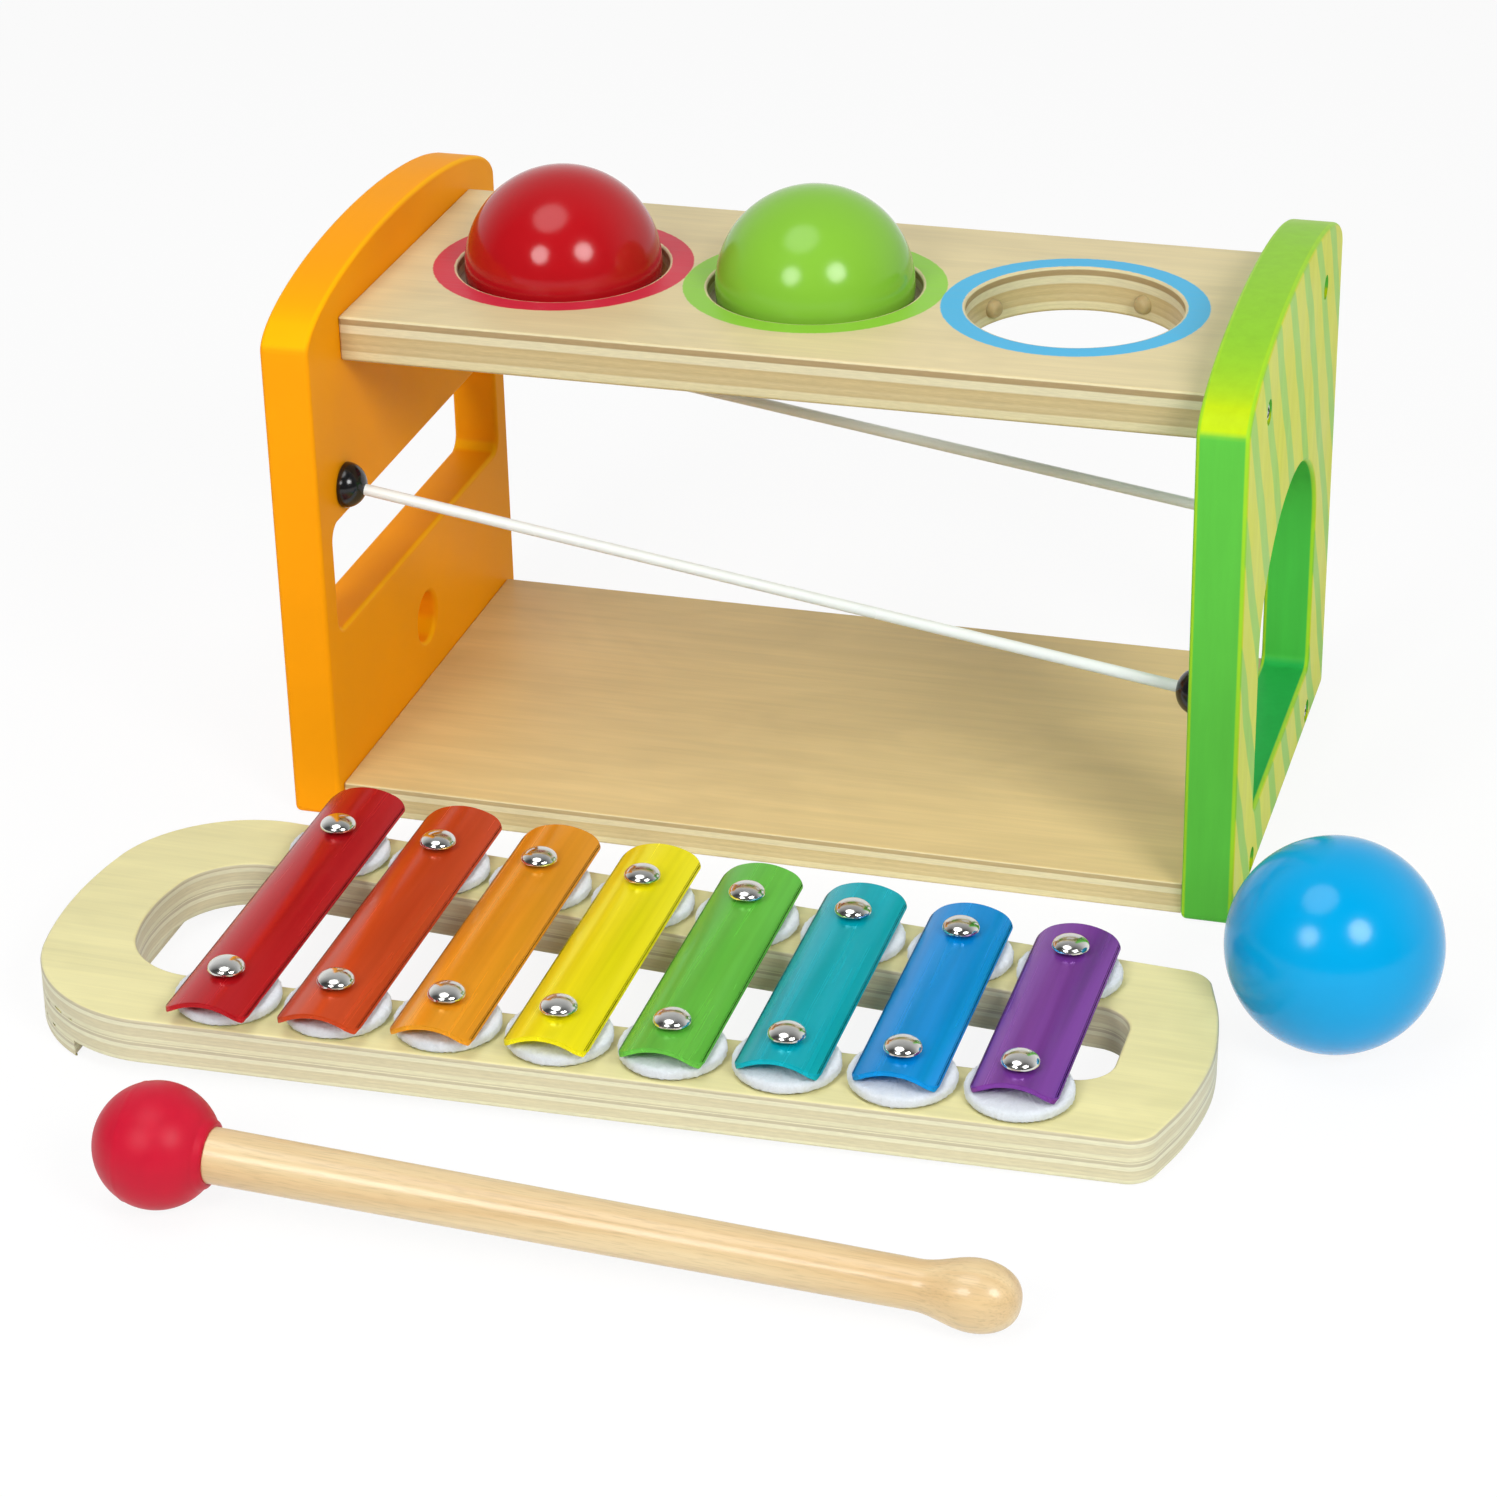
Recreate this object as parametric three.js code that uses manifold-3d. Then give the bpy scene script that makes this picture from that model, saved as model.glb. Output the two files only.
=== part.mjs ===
// A xylophone pounding bench: a small bench with two arched end panels and three ball holes,
// a xylophone that slides through it on a slope, three balls and a mallet.
// Millimetres, +Z up, front towards -Y, left towards -X, the bench standing on the origin.
import * as THREE from "three";
import { mergeVertices } from "three/addons/utils/BufferGeometryUtils.js";
import Module from "manifold-3d";

// Gap between a piece and the hole or face that holds it
const fit = 0.3;
// How far a cutting tool runs past the face that it opens
const overshoot = 1;

// End panels
const innerLength = 224;
const panelThickness = 13;
const panelDepth = 141.5;
const panelSpring = 130;
const panelRise = 16.4;
const panelCorner = 2;
const panelEdge = 1;

// Openings in the end panels
const slotWidth = 124;
const slotFloor = 50;
const slotHeight = 29.5;
const slotCorner = 4;
const stickHoleDiameter = 14;
const stickHoleHeight = 25.8;
const doorWidth = 86;
const doorSill = 18;
const doorSpring = 62;
const doorRise = 29;
const doorCorner = 3;

// Boards
const deckHeight = 133;
const deckThickness = 12;
const deckDepth = 98.6;
const baseThickness = 8.8;
const baseDepth = 131.5;
const baseShift = -1.75;
const boardCorner = 0.8;
const boardEdge = 0.6;

// Balls, their holes and the soft nubs that grip them. The blue ball lies off the xylophone's right end
const ballColours = { red: 0xc31923, green: 0x91cd3c, blue: 0x00a5e1 };
const ballDiameter = 51.6;
const blueBallOffset = [21.8, 35.3];
const holeMargin = 44;
const holeDiameter = 55.4;
const nubDiameter = 5;
const nubSeat = 5;
const nubDrop = 7.6;
const nubAngles = { right: 62, left: 152, front: 287 };

// Guard rods and their domed caps
const rodDiameter = 3;
const rodOffset = 52.5;
const rodLeftHeight = 88;
const rodRightHeight = 55;
const rodSeat = 6;
const capDiameter = 12;

// Screws that hold the boards between the panels
const screwOffset = 43;
const screwHeadDiameter = 6.2;
const screwHeadHeight = 2.4;
const screwRecess = 3;
const screwShankDiameter = 3.2;
const screwLength = 30;
const screwTip = 4;
const crossLength = 3.8;
const crossWidth = 0.9;
const crossDepth = 1.2;

// Xylophone frame, measured from its left end, with a lip under that end
const frameCorner = [-149.8, -153.3];
const frameLength = 285;
const frameThickness = 12;
const frameLeftWidth = 104;
const frameRightWidth = 77;
const frameLeftBow = 8;
const frameRightCorner = 7;
const frameBow = 8;
const frameBowShare = 0.35;
const frameEdge = 0.6;
const windowStart = 21.2;
const windowMargin = 21.5;
const windowLeftWidth = 57;
const windowRightWidth = 32;
const windowLeftBow = 5;
const windowRightCorner = 9;
const leftBowShare = 0.2;
const leftFlat = 3;
const lipLength = 20;
const lipDrop = 4;

// Xylophone bars, felts and pins
const barColours = [0xaf191e, 0xc3461e, 0xde911e, 0xebe114, 0x5fb441, 0x00a0af, 0x0087cd, 0x783c96];
const barStart = 56.4;
const barMargin = 39.6;
const barWidth = 20.5;
const barLongest = 110.8;
const barShortest = 75;
const barShiftLeft = 3.4;
const barShiftRight = 2;
const barRise = 3.6;
const barSheet = 1.3;
const barCorner = 3.4;
const pinSpanLeft = 72.6;
const pinSpanRight = 53.6;
const pinHeadDiameter = 9;
const pinHeadHeight = 3;
const pinShankDiameter = 2.6;
const pinSeat = 8;
const feltDiameter = 25.4;
const feltThickness = 3;
const feltStripWidth = 9;

// Mallet, lying on its head and the widest ring of its knob
const malletPlace = [-85.2, -250.8];
const malletYaw = -0.6;
const malletHeadDiameter = 29;
const malletTenon = 6;
const malletSpan = 188;
const stickDiameter = 13;
const stickNeckDiameter = 11.2;
const knobDiameter = 16;
const knobRamp = 13;
const knobTail = 10;

// Fineness of the round shapes
const arcSteps = 3;
const archPieces = 5;
const smallSides = 10;
const ballSides = 20;
const ballRings = 12;

const finishes = {
  orangePaint: { roughness: 0.35, metalness: 0, color: 0xf8a51e },
  greenPaint: { roughness: 0.35, metalness: 0, color: 0x6ec341 },
  plywood: { roughness: 0.6, metalness: 0, color: 0xdacfa5 },
  maple: { roughness: 0.5, metalness: 0, color: 0xd7b987 },
  whitePaint: { roughness: 0.35, metalness: 0, color: 0xebeeeb },
  blackPlastic: { roughness: 0.25, metalness: 0, color: 0x151515 },
  softNub: { roughness: 0.7, metalness: 0, color: 0xd8c49a },
  steel: { roughness: 0.25, metalness: 1, color: 0xc8cacc },
  felt: { roughness: 0.95, metalness: 0, color: 0xe1e8ee },
  rubber: { roughness: 0.55, metalness: 0, color: 0xd71e3c },
};
const gloss = (color) => ({ roughness: 0.2, metalness: 0, color });
const enamel = (color) => ({ roughness: 0.25, metalness: 0.2, color });

const wasm = await Module();
wasm.setup();

const degrees = THREE.MathUtils.degToRad;
const mix = THREE.MathUtils.lerp;
const quarterTurn = Math.PI / 2;
const overallLength = innerLength + 2 * panelThickness;
const ballRadius = ballDiameter / 2;
const holeRadius = holeDiameter / 2;
const holeSpacing = innerLength / 2 - holeMargin;

// Geometry moved and turned: about X first, then Y, then Z
function moved(geometry, position, rotation = [0, 0, 0]) {
  const turn = new THREE.Quaternion().setFromEuler(new THREE.Euler(...rotation, "ZYX"));
  const unscaled = new THREE.Vector3(1, 1, 1);
  const matrix = new THREE.Matrix4().compose(new THREE.Vector3(...position), turn, unscaled);
  return geometry.clone().applyMatrix4(matrix);
}

// One named piece, placed in its group
function addPiece(group, name, geometry, finish, position = [0, 0, 0], rotation = [0, 0, 0]) {
  const piece = new THREE.Mesh(geometry, new THREE.MeshStandardMaterial(finish));
  piece.name = name;
  piece.position.set(...position);
  piece.rotation.set(...rotation, "ZYX");
  group.add(piece);
}

function toSolid(geometry) {
  const bare = geometry.clone();
  bare.deleteAttribute("normal");
  bare.deleteAttribute("uv");
  const merged = mergeVertices(bare);
  const vertProperties = new Float32Array(merged.attributes.position.array);
  const triVerts = new Uint32Array(merged.index.array);
  return new wasm.Manifold(new wasm.Mesh({ numProp: 3, vertProperties, triVerts }));
}

function toGeometry(solid) {
  const { vertProperties, triVerts } = solid.getMesh();
  const geometry = new THREE.BufferGeometry();
  geometry.setAttribute("position", new THREE.BufferAttribute(vertProperties, 3));
  geometry.setIndex(new THREE.BufferAttribute(triVerts, 1));
  geometry.computeVertexNormals();
  return geometry;
}

const cut = (body, tools) =>
  toGeometry(tools.reduce((rest, tool) => rest.subtract(toSolid(tool)), toSolid(body)));

const join = (bodies) =>
  toGeometry(bodies.map(toSolid).reduce((whole, body) => whole.add(body)));

const common = (body, other) => toGeometry(toSolid(body).intersect(toSolid(other)));

// A closed outline through [x, y, radius] corners, given anticlockwise
function outline(corners, Kind = THREE.Shape) {
  const path = new Kind();
  const points = corners.map(([x, y]) => new THREE.Vector2(x, y));
  corners.forEach(([x, y, radius], i) => {
    const arriving = points[i].clone().sub(points.at(i - 1)).normalize();
    const leaving = points[(i + 1) % points.length].clone().sub(points[i]).normalize();
    const inset = radius * Math.tan(arriving.angleTo(leaving) / 2);
    const centreX = x - arriving.x * inset - arriving.y * radius;
    const centreY = y - arriving.y * inset + arriving.x * radius;
    const from = arriving.angle() - quarterTurn;
    path.absarc(centreX, centreY, radius, from, leaving.angle() - quarterTurn, false);
  });
  return path;
}

const rectangle = (width, depth, corner, Kind) =>
  outline(
    [
      [-width / 2, -depth / 2, corner],
      [width / 2, -depth / 2, corner],
      [width / 2, depth / 2, corner],
      [-width / 2, depth / 2, corner],
    ],
    Kind,
  );

// The same closed path shifted by [x, y]
function shifted(path, x, y) {
  const points = path.getPoints(arcSteps).map((point) => new THREE.Vector2(point.x + x, point.y + y));
  return new THREE.Path(points);
}

const roundHole = (diameter, x, y) =>
  shifted(rectangle(diameter, diameter, diameter / 2, THREE.Path), x, y);

// An upright outline with two rounded feet and a half-ellipse top
function arched(width, foot, spring, rise, corner, Kind = THREE.Shape) {
  const path = new Kind();
  const half = width / 2;
  path.absarc(-half + corner, foot + corner, corner, Math.PI, 3 * quarterTurn, false);
  path.absarc(half - corner, foot + corner, corner, -quarterTurn, 0, false);
  for (let i = 0; i < archPieces; i += 1) {
    const from = (Math.PI * i) / archPieces;
    path.absellipse(0, spring, half, rise, from, from + Math.PI / archPieces, false);
  }
  return path;
}

// A flat piece with eased edges, standing on z = 0
function slab(shape, thickness, edge) {
  const options = {
    depth: thickness - 2 * edge,
    bevelThickness: edge,
    bevelSize: edge,
    bevelOffset: -edge,
    bevelSegments: 1,
    curveSegments: arcSteps,
  };
  return new THREE.ExtrudeGeometry(shape, options).translate(0, 0, edge);
}

// A turned piece about Z through [radius, height] points that start and end on the axis
function turned(profile, sides = smallSides) {
  const points = profile.map(([radius, height]) => new THREE.Vector2(radius, height));
  return new THREE.LatheGeometry(points, sides).rotateX(quarterTurn);
}

const rod = (diameter, bottom, top) =>
  turned([[0, bottom], [diameter / 2, bottom], [diameter / 2, top], [0, top]]);

// A dome's profile from its rim to its top
function dome(radius, rise, base, steps) {
  const points = [];
  for (let i = 0; i < steps; i += 1) {
    const angle = (quarterTurn * i) / steps;
    points.push([radius * Math.cos(angle), base + rise * Math.sin(angle)]);
  }
  return [...points, [0, base + rise]];
}

const bench = new THREE.Group();
bench.name = "xylophone_pounding_bench";

// Screws: the head's seat is at height 0 of the turned profile
const screwShank = (grow) => [
  [0, -screwLength - grow],
  [screwShankDiameter / 2 + grow, screwTip - screwLength - grow],
  [screwShankDiameter / 2 + grow, -grow],
];
const crossCut = (width, depth) =>
  new THREE.BoxGeometry(width, depth, 2 * crossDepth).translate(0, 0, screwHeadHeight);
const screwBody = turned([
  ...screwShank(0),
  [screwHeadDiameter / 2, 0],
  ...dome(screwHeadDiameter / 2, screwHeadHeight / 2, screwHeadHeight / 2, 3),
]);
const screwShape = cut(screwBody, [crossCut(crossLength, crossWidth), crossCut(crossWidth, crossLength)]);
const screwHoleTop = screwRecess + overshoot;
const screwHole = turned([
  ...screwShank(fit),
  [screwHeadDiameter / 2 + fit, -fit],
  [screwHeadDiameter / 2 + fit, screwHoleTop],
  [0, screwHoleTop],
]);
const screwCuts = [];
for (const [end, side] of [["left", -1], ["right", 1]]) {
  for (const [level, height] of [["upper", deckHeight - deckThickness / 2], ["lower", baseThickness / 2]]) {
    for (const [row, sign] of [["front", -1], ["rear", 1]]) {
      const position = [side * (overallLength / 2 - screwRecess), sign * screwOffset, height];
      const rotation = [0, side * quarterTurn, 0];
      addPiece(bench, `${end}_${level}_${row}_screw`, screwShape, finishes.steel, position, rotation);
      screwCuts.push(moved(screwHole, position, rotation));
    }
  }
}

// Guard rods run through their caps into blind holes in the panels
const rodSlope = Math.atan2(rodLeftHeight - rodRightHeight, innerLength);
const rodReach = (innerLength / 2 + rodSeat) / Math.cos(rodSlope);
const rodTurn = [0, quarterTurn + rodSlope, 0];
const rodBore = rod(rodDiameter + 2 * fit, -rodReach - fit, rodReach + fit);
const capShape = turned([[0, 0], ...dome(capDiameter / 2, capDiameter / 2, 0, 4)]);
const rodCuts = [];
for (const [row, sign] of [["front", -1], ["rear", 1]]) {
  const middle = [0, sign * rodOffset, (rodLeftHeight + rodRightHeight) / 2];
  const bore = moved(rodBore, middle, rodTurn);
  const bar = rod(rodDiameter, -rodReach, rodReach);
  addPiece(bench, `${row}_guard_rod`, bar, finishes.whitePaint, middle, rodTurn);
  for (const [end, side, height] of [["left", -1, rodLeftHeight], ["right", 1, rodRightHeight]]) {
    const seat = [(side * innerLength) / 2, sign * rodOffset, height];
    const cap = cut(moved(capShape, seat, [0, -side * quarterTurn, 0]), [bore]);
    addPiece(bench, `${row}_${end}_rod_cap`, cap, finishes.blackPlastic);
  }
  rodCuts.push(bore);
}

// End panels: drawn as seen from the right, with depth across and height up
const panelTurn = [quarterTurn, 0, quarterTurn];
const panelShape = () => arched(panelDepth, 0, panelSpring, panelRise, panelCorner);
const leftShape = panelShape();
const slotMiddle = slotFloor + slotHeight / 2;
leftShape.holes.push(shifted(rectangle(slotWidth, slotHeight, slotCorner, THREE.Path), 0, slotMiddle));
leftShape.holes.push(roundHole(stickHoleDiameter, 0, stickHoleHeight));
const rightShape = panelShape();
rightShape.holes.push(arched(doorWidth, doorSill, doorSpring, doorRise, doorCorner, THREE.Path));
const panel = (shape, x) =>
  cut(moved(slab(shape, panelThickness, panelEdge), [x, 0, 0], panelTurn), [...screwCuts, ...rodCuts]);
addPiece(bench, "left_end_panel", panel(leftShape, -overallLength / 2), finishes.orangePaint);
addPiece(bench, "right_end_panel", panel(rightShape, innerLength / 2), finishes.greenPaint);

// Grip nubs stand in the walls of the ball holes, and a ball rests on the three of its hole
const nubRadius = nubDiameter / 2;
const nubReach = Math.sqrt((ballRadius + nubRadius + fit) ** 2 - nubDrop ** 2);
const nubEnd = holeRadius + nubSeat;
const nubHeight = deckHeight - nubDrop;
const nubShape = turned([
  [0, nubReach - nubEnd],
  [nubRadius, nubReach - nubEnd],
  ...dome(nubRadius, nubRadius, 0, 3),
]);
const nubBore = rod(nubDiameter + 2 * fit, nubReach - nubEnd - fit, nubReach);
const holes = { left: -holeSpacing, middle: 0, right: holeSpacing };
const nubCuts = [];
for (const [hole, x] of Object.entries(holes)) {
  for (const [place, angle] of Object.entries(nubAngles)) {
    const around = degrees(angle);
    const position = [x + nubReach * Math.cos(around), nubReach * Math.sin(around), nubHeight];
    const rotation = [0, quarterTurn, around + Math.PI];
    addPiece(bench, `${hole}_hole_${place}_nub`, nubShape, finishes.softNub, position, rotation);
    nubCuts.push(moved(nubBore, position, rotation));
  }
}

// Boards
const deckShape = rectangle(innerLength, deckDepth, boardCorner);
for (const x of Object.values(holes)) {
  deckShape.holes.push(roundHole(holeDiameter, x, 0));
}
const deck = slab(deckShape, deckThickness, boardEdge).translate(0, 0, deckHeight - deckThickness);
addPiece(bench, "top_board", cut(deck, [...screwCuts, ...nubCuts]), finishes.plywood);
const baseShape = rectangle(innerLength, baseDepth, boardCorner);
const base = slab(baseShape, baseThickness, boardEdge).translate(0, baseShift, 0);
addPiece(bench, "base_board", cut(base, screwCuts), finishes.plywood);

// Balls
const ball = () => new THREE.SphereGeometry(ballRadius, ballSides, ballRings);
addPiece(bench, "red_ball", ball(), gloss(ballColours.red), [holes.left, 0, deckHeight]);
addPiece(bench, "green_ball", ball(), gloss(ballColours.green), [holes.middle, 0, deckHeight]);
const blueBallPlace = [
  frameCorner[0] + frameLength + blueBallOffset[0],
  frameCorner[1] + blueBallOffset[1],
  ballRadius,
];
addPiece(bench, "blue_ball", ball(), gloss(ballColours.blue), blueBallPlace);

// Xylophone: its own frame runs from the left end, with the underside at height 0
const tilt = Math.atan2(lipDrop, frameLength - lipLength);
const xylophone = new THREE.Group();
xylophone.name = "xylophone";
xylophone.position.set(...frameCorner, frameLength * Math.sin(tilt));
xylophone.rotation.set(0, tilt, 0);
bench.add(xylophone);

const leftHalf = frameLeftWidth / 2;
const rightHalf = frameRightWidth / 2;
const bowHalf = rightHalf * frameBowShare;
const bowTurn = Math.atan2(frameBow, rightHalf - bowHalf);
const bowRadius = bowHalf / Math.tan(bowTurn / 2);
const windowEnd = frameLength - windowMargin;


// The corners of a left end at x with a bowed middle, for sides that close in by a slope. Flat
// stretches part the two halves of the bow from each other and from the corners.
function leftEnd(x, half, bow, slope) {
  const middleHalf = half * leftBowShare;
  const edge = Math.hypot(bow, half - middleHalf);
  const turn = Math.atan2(bow, half - middleHalf);
  const corner = (edge - middleHalf - leftFlat / 2) / Math.tan((quarterTurn - turn + slope) / 2);
  const middleRadius = (middleHalf - leftFlat / 2) / Math.tan(turn / 2);
  return [
    [x + bow, half, corner],
    [x, middleHalf, middleRadius],
    [x, -middleHalf, middleRadius],
    [x + bow, -half, corner],
  ];
}

const frameSlope = Math.atan2(leftHalf - rightHalf, frameLength - frameBow - frameLeftBow);
const frameOutline = outline([
  ...leftEnd(0, leftHalf, frameLeftBow, frameSlope),
  [frameLength - frameBow, -rightHalf, frameRightCorner],
  [frameLength, -bowHalf, bowRadius],
  [frameLength, bowHalf, bowRadius],
  [frameLength - frameBow, rightHalf, frameRightCorner],
]);
const lipBlock = slab(frameOutline, frameThickness + lipDrop, frameEdge).translate(0, 0, -lipDrop);
const lipSpace = new THREE.BoxGeometry(2 * lipLength, 2 * frameLeftWidth, 2 * (frameThickness + lipDrop));
const windowRun = windowEnd - windowStart - windowLeftBow;
const windowSlope = Math.atan2(windowLeftWidth - windowRightWidth, 2 * windowRun);
const windowShape = outline(
  [
    ...leftEnd(windowStart, windowLeftWidth / 2, windowLeftBow, windowSlope),
    [windowEnd, -windowRightWidth / 2, windowRightCorner],
    [windowEnd, windowRightWidth / 2, windowRightCorner],
  ],
  THREE.Path,
);
const lip = common(lipBlock, lipSpace);
frameOutline.holes.push(windowShape);
const frameBlank = join([slab(frameOutline, frameThickness, frameEdge), lip]);

// Heights over the frame's underside
const feltBottom = frameThickness + fit;
const feltTop = feltBottom + feltThickness;
const barRadius = (barRise ** 2 + (barWidth / 2) ** 2) / (2 * barRise);
const barSpread = Math.asin(barWidth / 2 / barRadius);
const barCrown = barRadius - (barRadius - barSheet) * Math.cos(barSpread);
const barBottom = feltTop + fit;
const pinNeck = barBottom + barCrown + fit;

// A bar is an arched sheet, cut to a rounded rectangle, with its lowest edges at height 0.
// It reaches further behind its pins than in front of them.
function barShape(length, pinSpan, shift) {
  const middle = barCrown - barRadius;
  const from = quarterTurn - barSpread;
  const section = new THREE.Shape();
  section.absarc(0, middle, barRadius, from, from + 2 * barSpread, false);
  section.absarc(0, middle, barRadius - barSheet, from + 2 * barSpread, from, true);
  const options = { depth: length, bevelEnabled: false, curveSegments: arcSteps };
  const sheet = new THREE.ExtrudeGeometry(section, options).translate(0, 0, -length / 2);
  const plan = slab(rectangle(barWidth, length, barCorner), barCrown + overshoot, 0);
  const bored = [-1, 1].map((sign) =>
    moved(rod(pinShankDiameter + 2 * fit, 0, barCrown + overshoot), [0, (sign * pinSpan) / 2, 0]),
  );
  const blank = common(moved(sheet, [0, 0, 0], [quarterTurn, 0, 0]), plan);
  return cut(moved(blank, [0, shift, 0]), bored);
}

const pinShape = turned([
  [0, frameThickness - pinSeat],
  [pinShankDiameter / 2, frameThickness - pinSeat],
  [pinShankDiameter / 2, pinNeck],
  ...dome(pinHeadDiameter / 2, pinHeadHeight, pinNeck, 3),
]);
const pinBore = rod(pinShankDiameter + 2 * fit, frameThickness - pinSeat - fit, pinNeck);
const feltDisc = turned([
  [0, feltBottom],
  [feltDiameter / 2, feltBottom],
  [feltDiameter / 2, feltTop],
  [0, feltTop],
]);
const barPitch = (frameLength - barStart - barMargin) / (barColours.length - 1);
const felts = { front: [], rear: [] };
const pinCuts = { front: [], rear: [] };
barColours.forEach((colour, i) => {
  const share = i / (barColours.length - 1);
  const pinSpan = mix(pinSpanLeft, pinSpanRight, share);
  const x = barStart + i * barPitch;
  const barShift = mix(barShiftLeft, barShiftRight, share);
  const bar = barShape(mix(barLongest, barShortest, share), pinSpan, barShift);
  addPiece(xylophone, `bar_${i + 1}`, bar, enamel(colour), [x, 0, barBottom]);
  for (const [row, sign] of [["front", -1], ["rear", 1]]) {
    const foot = [x, (sign * pinSpan) / 2, 0];
    addPiece(xylophone, `bar_${i + 1}_${row}_pin`, pinShape, finishes.steel, foot);
    felts[row].push(moved(feltDisc, foot));
    pinCuts[row].push(moved(pinBore, foot));
  }
});

// The discs of a row are joined by a narrow strip along the rail
const rowLength = (barColours.length - 1) * barPitch;
const rowSlope = Math.atan2(pinSpanLeft - pinSpanRight, 2 * rowLength);
for (const [row, sign] of [["front", -1], ["rear", 1]]) {
  const strip = new THREE.BoxGeometry(rowLength / Math.cos(rowSlope), feltStripWidth, feltThickness);
  const middleY = (sign * (pinSpanLeft + pinSpanRight)) / 4;
  const middle = [barStart + rowLength / 2, middleY, feltBottom + feltThickness / 2];
  const joined = join([moved(strip, middle, [0, 0, -sign * rowSlope]), ...felts[row]]);
  addPiece(xylophone, `${row}_felt_row`, cut(joined, pinCuts[row]), finishes.felt);
}
const frame = cut(frameBlank, [...pinCuts.front, ...pinCuts.rear]);
addPiece(xylophone, "xylophone_frame", frame, finishes.plywood);

// Mallet: its own frame runs from the head's middle along the stick
const headRadius = malletHeadDiameter / 2;
const knobRadius = knobDiameter / 2;
const knobRest = Math.asin(headRadius / Math.hypot(malletSpan, knobRadius));
const malletPitch = knobRest - Math.atan2(knobRadius, malletSpan);
const mallet = new THREE.Group();
mallet.name = "mallet";
mallet.position.set(...malletPlace, headRadius);
mallet.rotation.set(0, malletPitch, degrees(malletYaw), "ZYX");
bench.add(mallet);
const alongStick = [0, quarterTurn, 0];
const stickProfile = (grow) => [
  [0, -malletTenon - grow],
  [stickDiameter / 2 + grow, -malletTenon - grow],
  [stickNeckDiameter / 2 + grow, malletSpan - knobRamp],
];
const stick = turned([...stickProfile(0), ...dome(knobRadius, knobTail, malletSpan, 4)], ballSides);
const stickBore = turned([...stickProfile(fit), [0, malletSpan - knobRamp]], ballSides);
const headBall = new THREE.SphereGeometry(headRadius, ballSides, ballRings);
addPiece(mallet, "mallet_head", cut(headBall, [moved(stickBore, [0, 0, 0], alongStick)]), finishes.rubber);
addPiece(mallet, "mallet_stick", moved(stick, [0, 0, 0], alongStick), finishes.maple);

export default bench;
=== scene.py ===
import math

import bmesh
import bpy
from mathutils import Euler, Matrix, Vector


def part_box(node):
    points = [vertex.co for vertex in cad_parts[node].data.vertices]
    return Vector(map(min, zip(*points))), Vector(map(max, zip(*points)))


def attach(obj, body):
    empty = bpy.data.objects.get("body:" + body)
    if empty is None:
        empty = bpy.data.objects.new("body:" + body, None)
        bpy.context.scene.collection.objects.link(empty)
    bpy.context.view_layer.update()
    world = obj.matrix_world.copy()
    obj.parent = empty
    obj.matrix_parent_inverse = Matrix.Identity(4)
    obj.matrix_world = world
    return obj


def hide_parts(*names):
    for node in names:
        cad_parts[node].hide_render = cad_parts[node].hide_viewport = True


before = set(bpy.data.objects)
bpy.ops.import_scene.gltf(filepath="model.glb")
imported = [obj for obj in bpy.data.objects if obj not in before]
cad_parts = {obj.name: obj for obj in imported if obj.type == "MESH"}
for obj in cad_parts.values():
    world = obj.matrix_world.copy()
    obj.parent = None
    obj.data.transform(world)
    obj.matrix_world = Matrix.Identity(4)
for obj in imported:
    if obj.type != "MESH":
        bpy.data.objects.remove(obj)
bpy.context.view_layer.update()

# Sizes in metres. The bench stands on the origin, with its front towards -Y.
INNER_LENGTH = 0.224
PANEL_THICK = 0.013
PANEL_DEPTH = 0.1415
PANEL_SPRING = 0.130
PANEL_RISE = 0.0164
PANEL_CORNER = 0.002
PANEL_EASE = 0.0014
SLOT_WIDTH = 0.124
SLOT_FLOOR = 0.050
SLOT_TOP = 0.0795
SLOT_CORNER = 0.004
STICK_HOLE = 0.007
STICK_HOLE_HEIGHT = 0.0258
DOOR_HALF = 0.043
DOOR_SILL = 0.018
DOOR_SPRING = 0.062
DOOR_RISE = 0.029
DOOR_CORNER = 0.003
DOOR_SHADE_MARGIN = 0.0004
DECK_TOP = 0.133
DECK_THICK = 0.012
DECK_DEPTH = 0.0986
BASE_THICK = 0.0088
BASE_DEPTH = 0.1315
BASE_SHIFT = -0.00175
BOARD_EASE = 0.0007
BOARD_CORNER = 0.0008
HOLE_SPACING = 0.068
HOLE_RADIUS = 0.0277
RING_RADIUS = 0.0339
RING_BARE_LINE = 0.0006
RING_FADE = 0.0003
BALL_RADIUS = 0.0258
BALL_FLAT_ANGLE = math.radians(4)
BALL_FLAT_DEPTH = 0.0004
BALL_TURN = (0.5, 0.3, 0)
NUB_RADIUS = 0.0025
NUB_DROP = 0.0076
NUB_GAP = 0.0003
NUB_SEAT = 0.0015
NUB_FULLNESS = 0.6
NUB_ANGLES = {"right": 62, "left": 152, "front": 287}
STRIPE_PITCH = 0.0204
STRIPE_SLANT = 0.60
STRIPE_START = -0.0081
STRIPE_SWAY = 0.007
ROD_RADIUS = 0.0015
ROD_OFFSET = 0.0525
ROD_LEFT = 0.088
ROD_RIGHT = 0.055
ROD_SEAT = 0.006
ROD_TIP = 0.0003
CAP_RADIUS = 0.006
CAP_RIM = 0.0004
SCREW_OFFSET = 0.043
SCREW_HEAD = 0.0031
SCREW_EDGE = 0.0002
SCREW_DOME = 0.0012
SCREW_CROSS_LONG = 0.0019
SCREW_CROSS_WIDE = 0.00045
SCREW_SHANK = 0.0016
SCREW_LENGTH = 0.030
SCREW_TAPER = 0.004
SCREW_POINT = 0.0004
SCREW_RECESS = 0.003
SCREW_RECESS_RADIUS = 0.00325
# two screws of the green panel are turned in less deep than the rest
PROUD_SCREWS = ("right_upper_front_screw", "right_lower_rear_screw")
SCREW_PROUD = 0.0005

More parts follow.
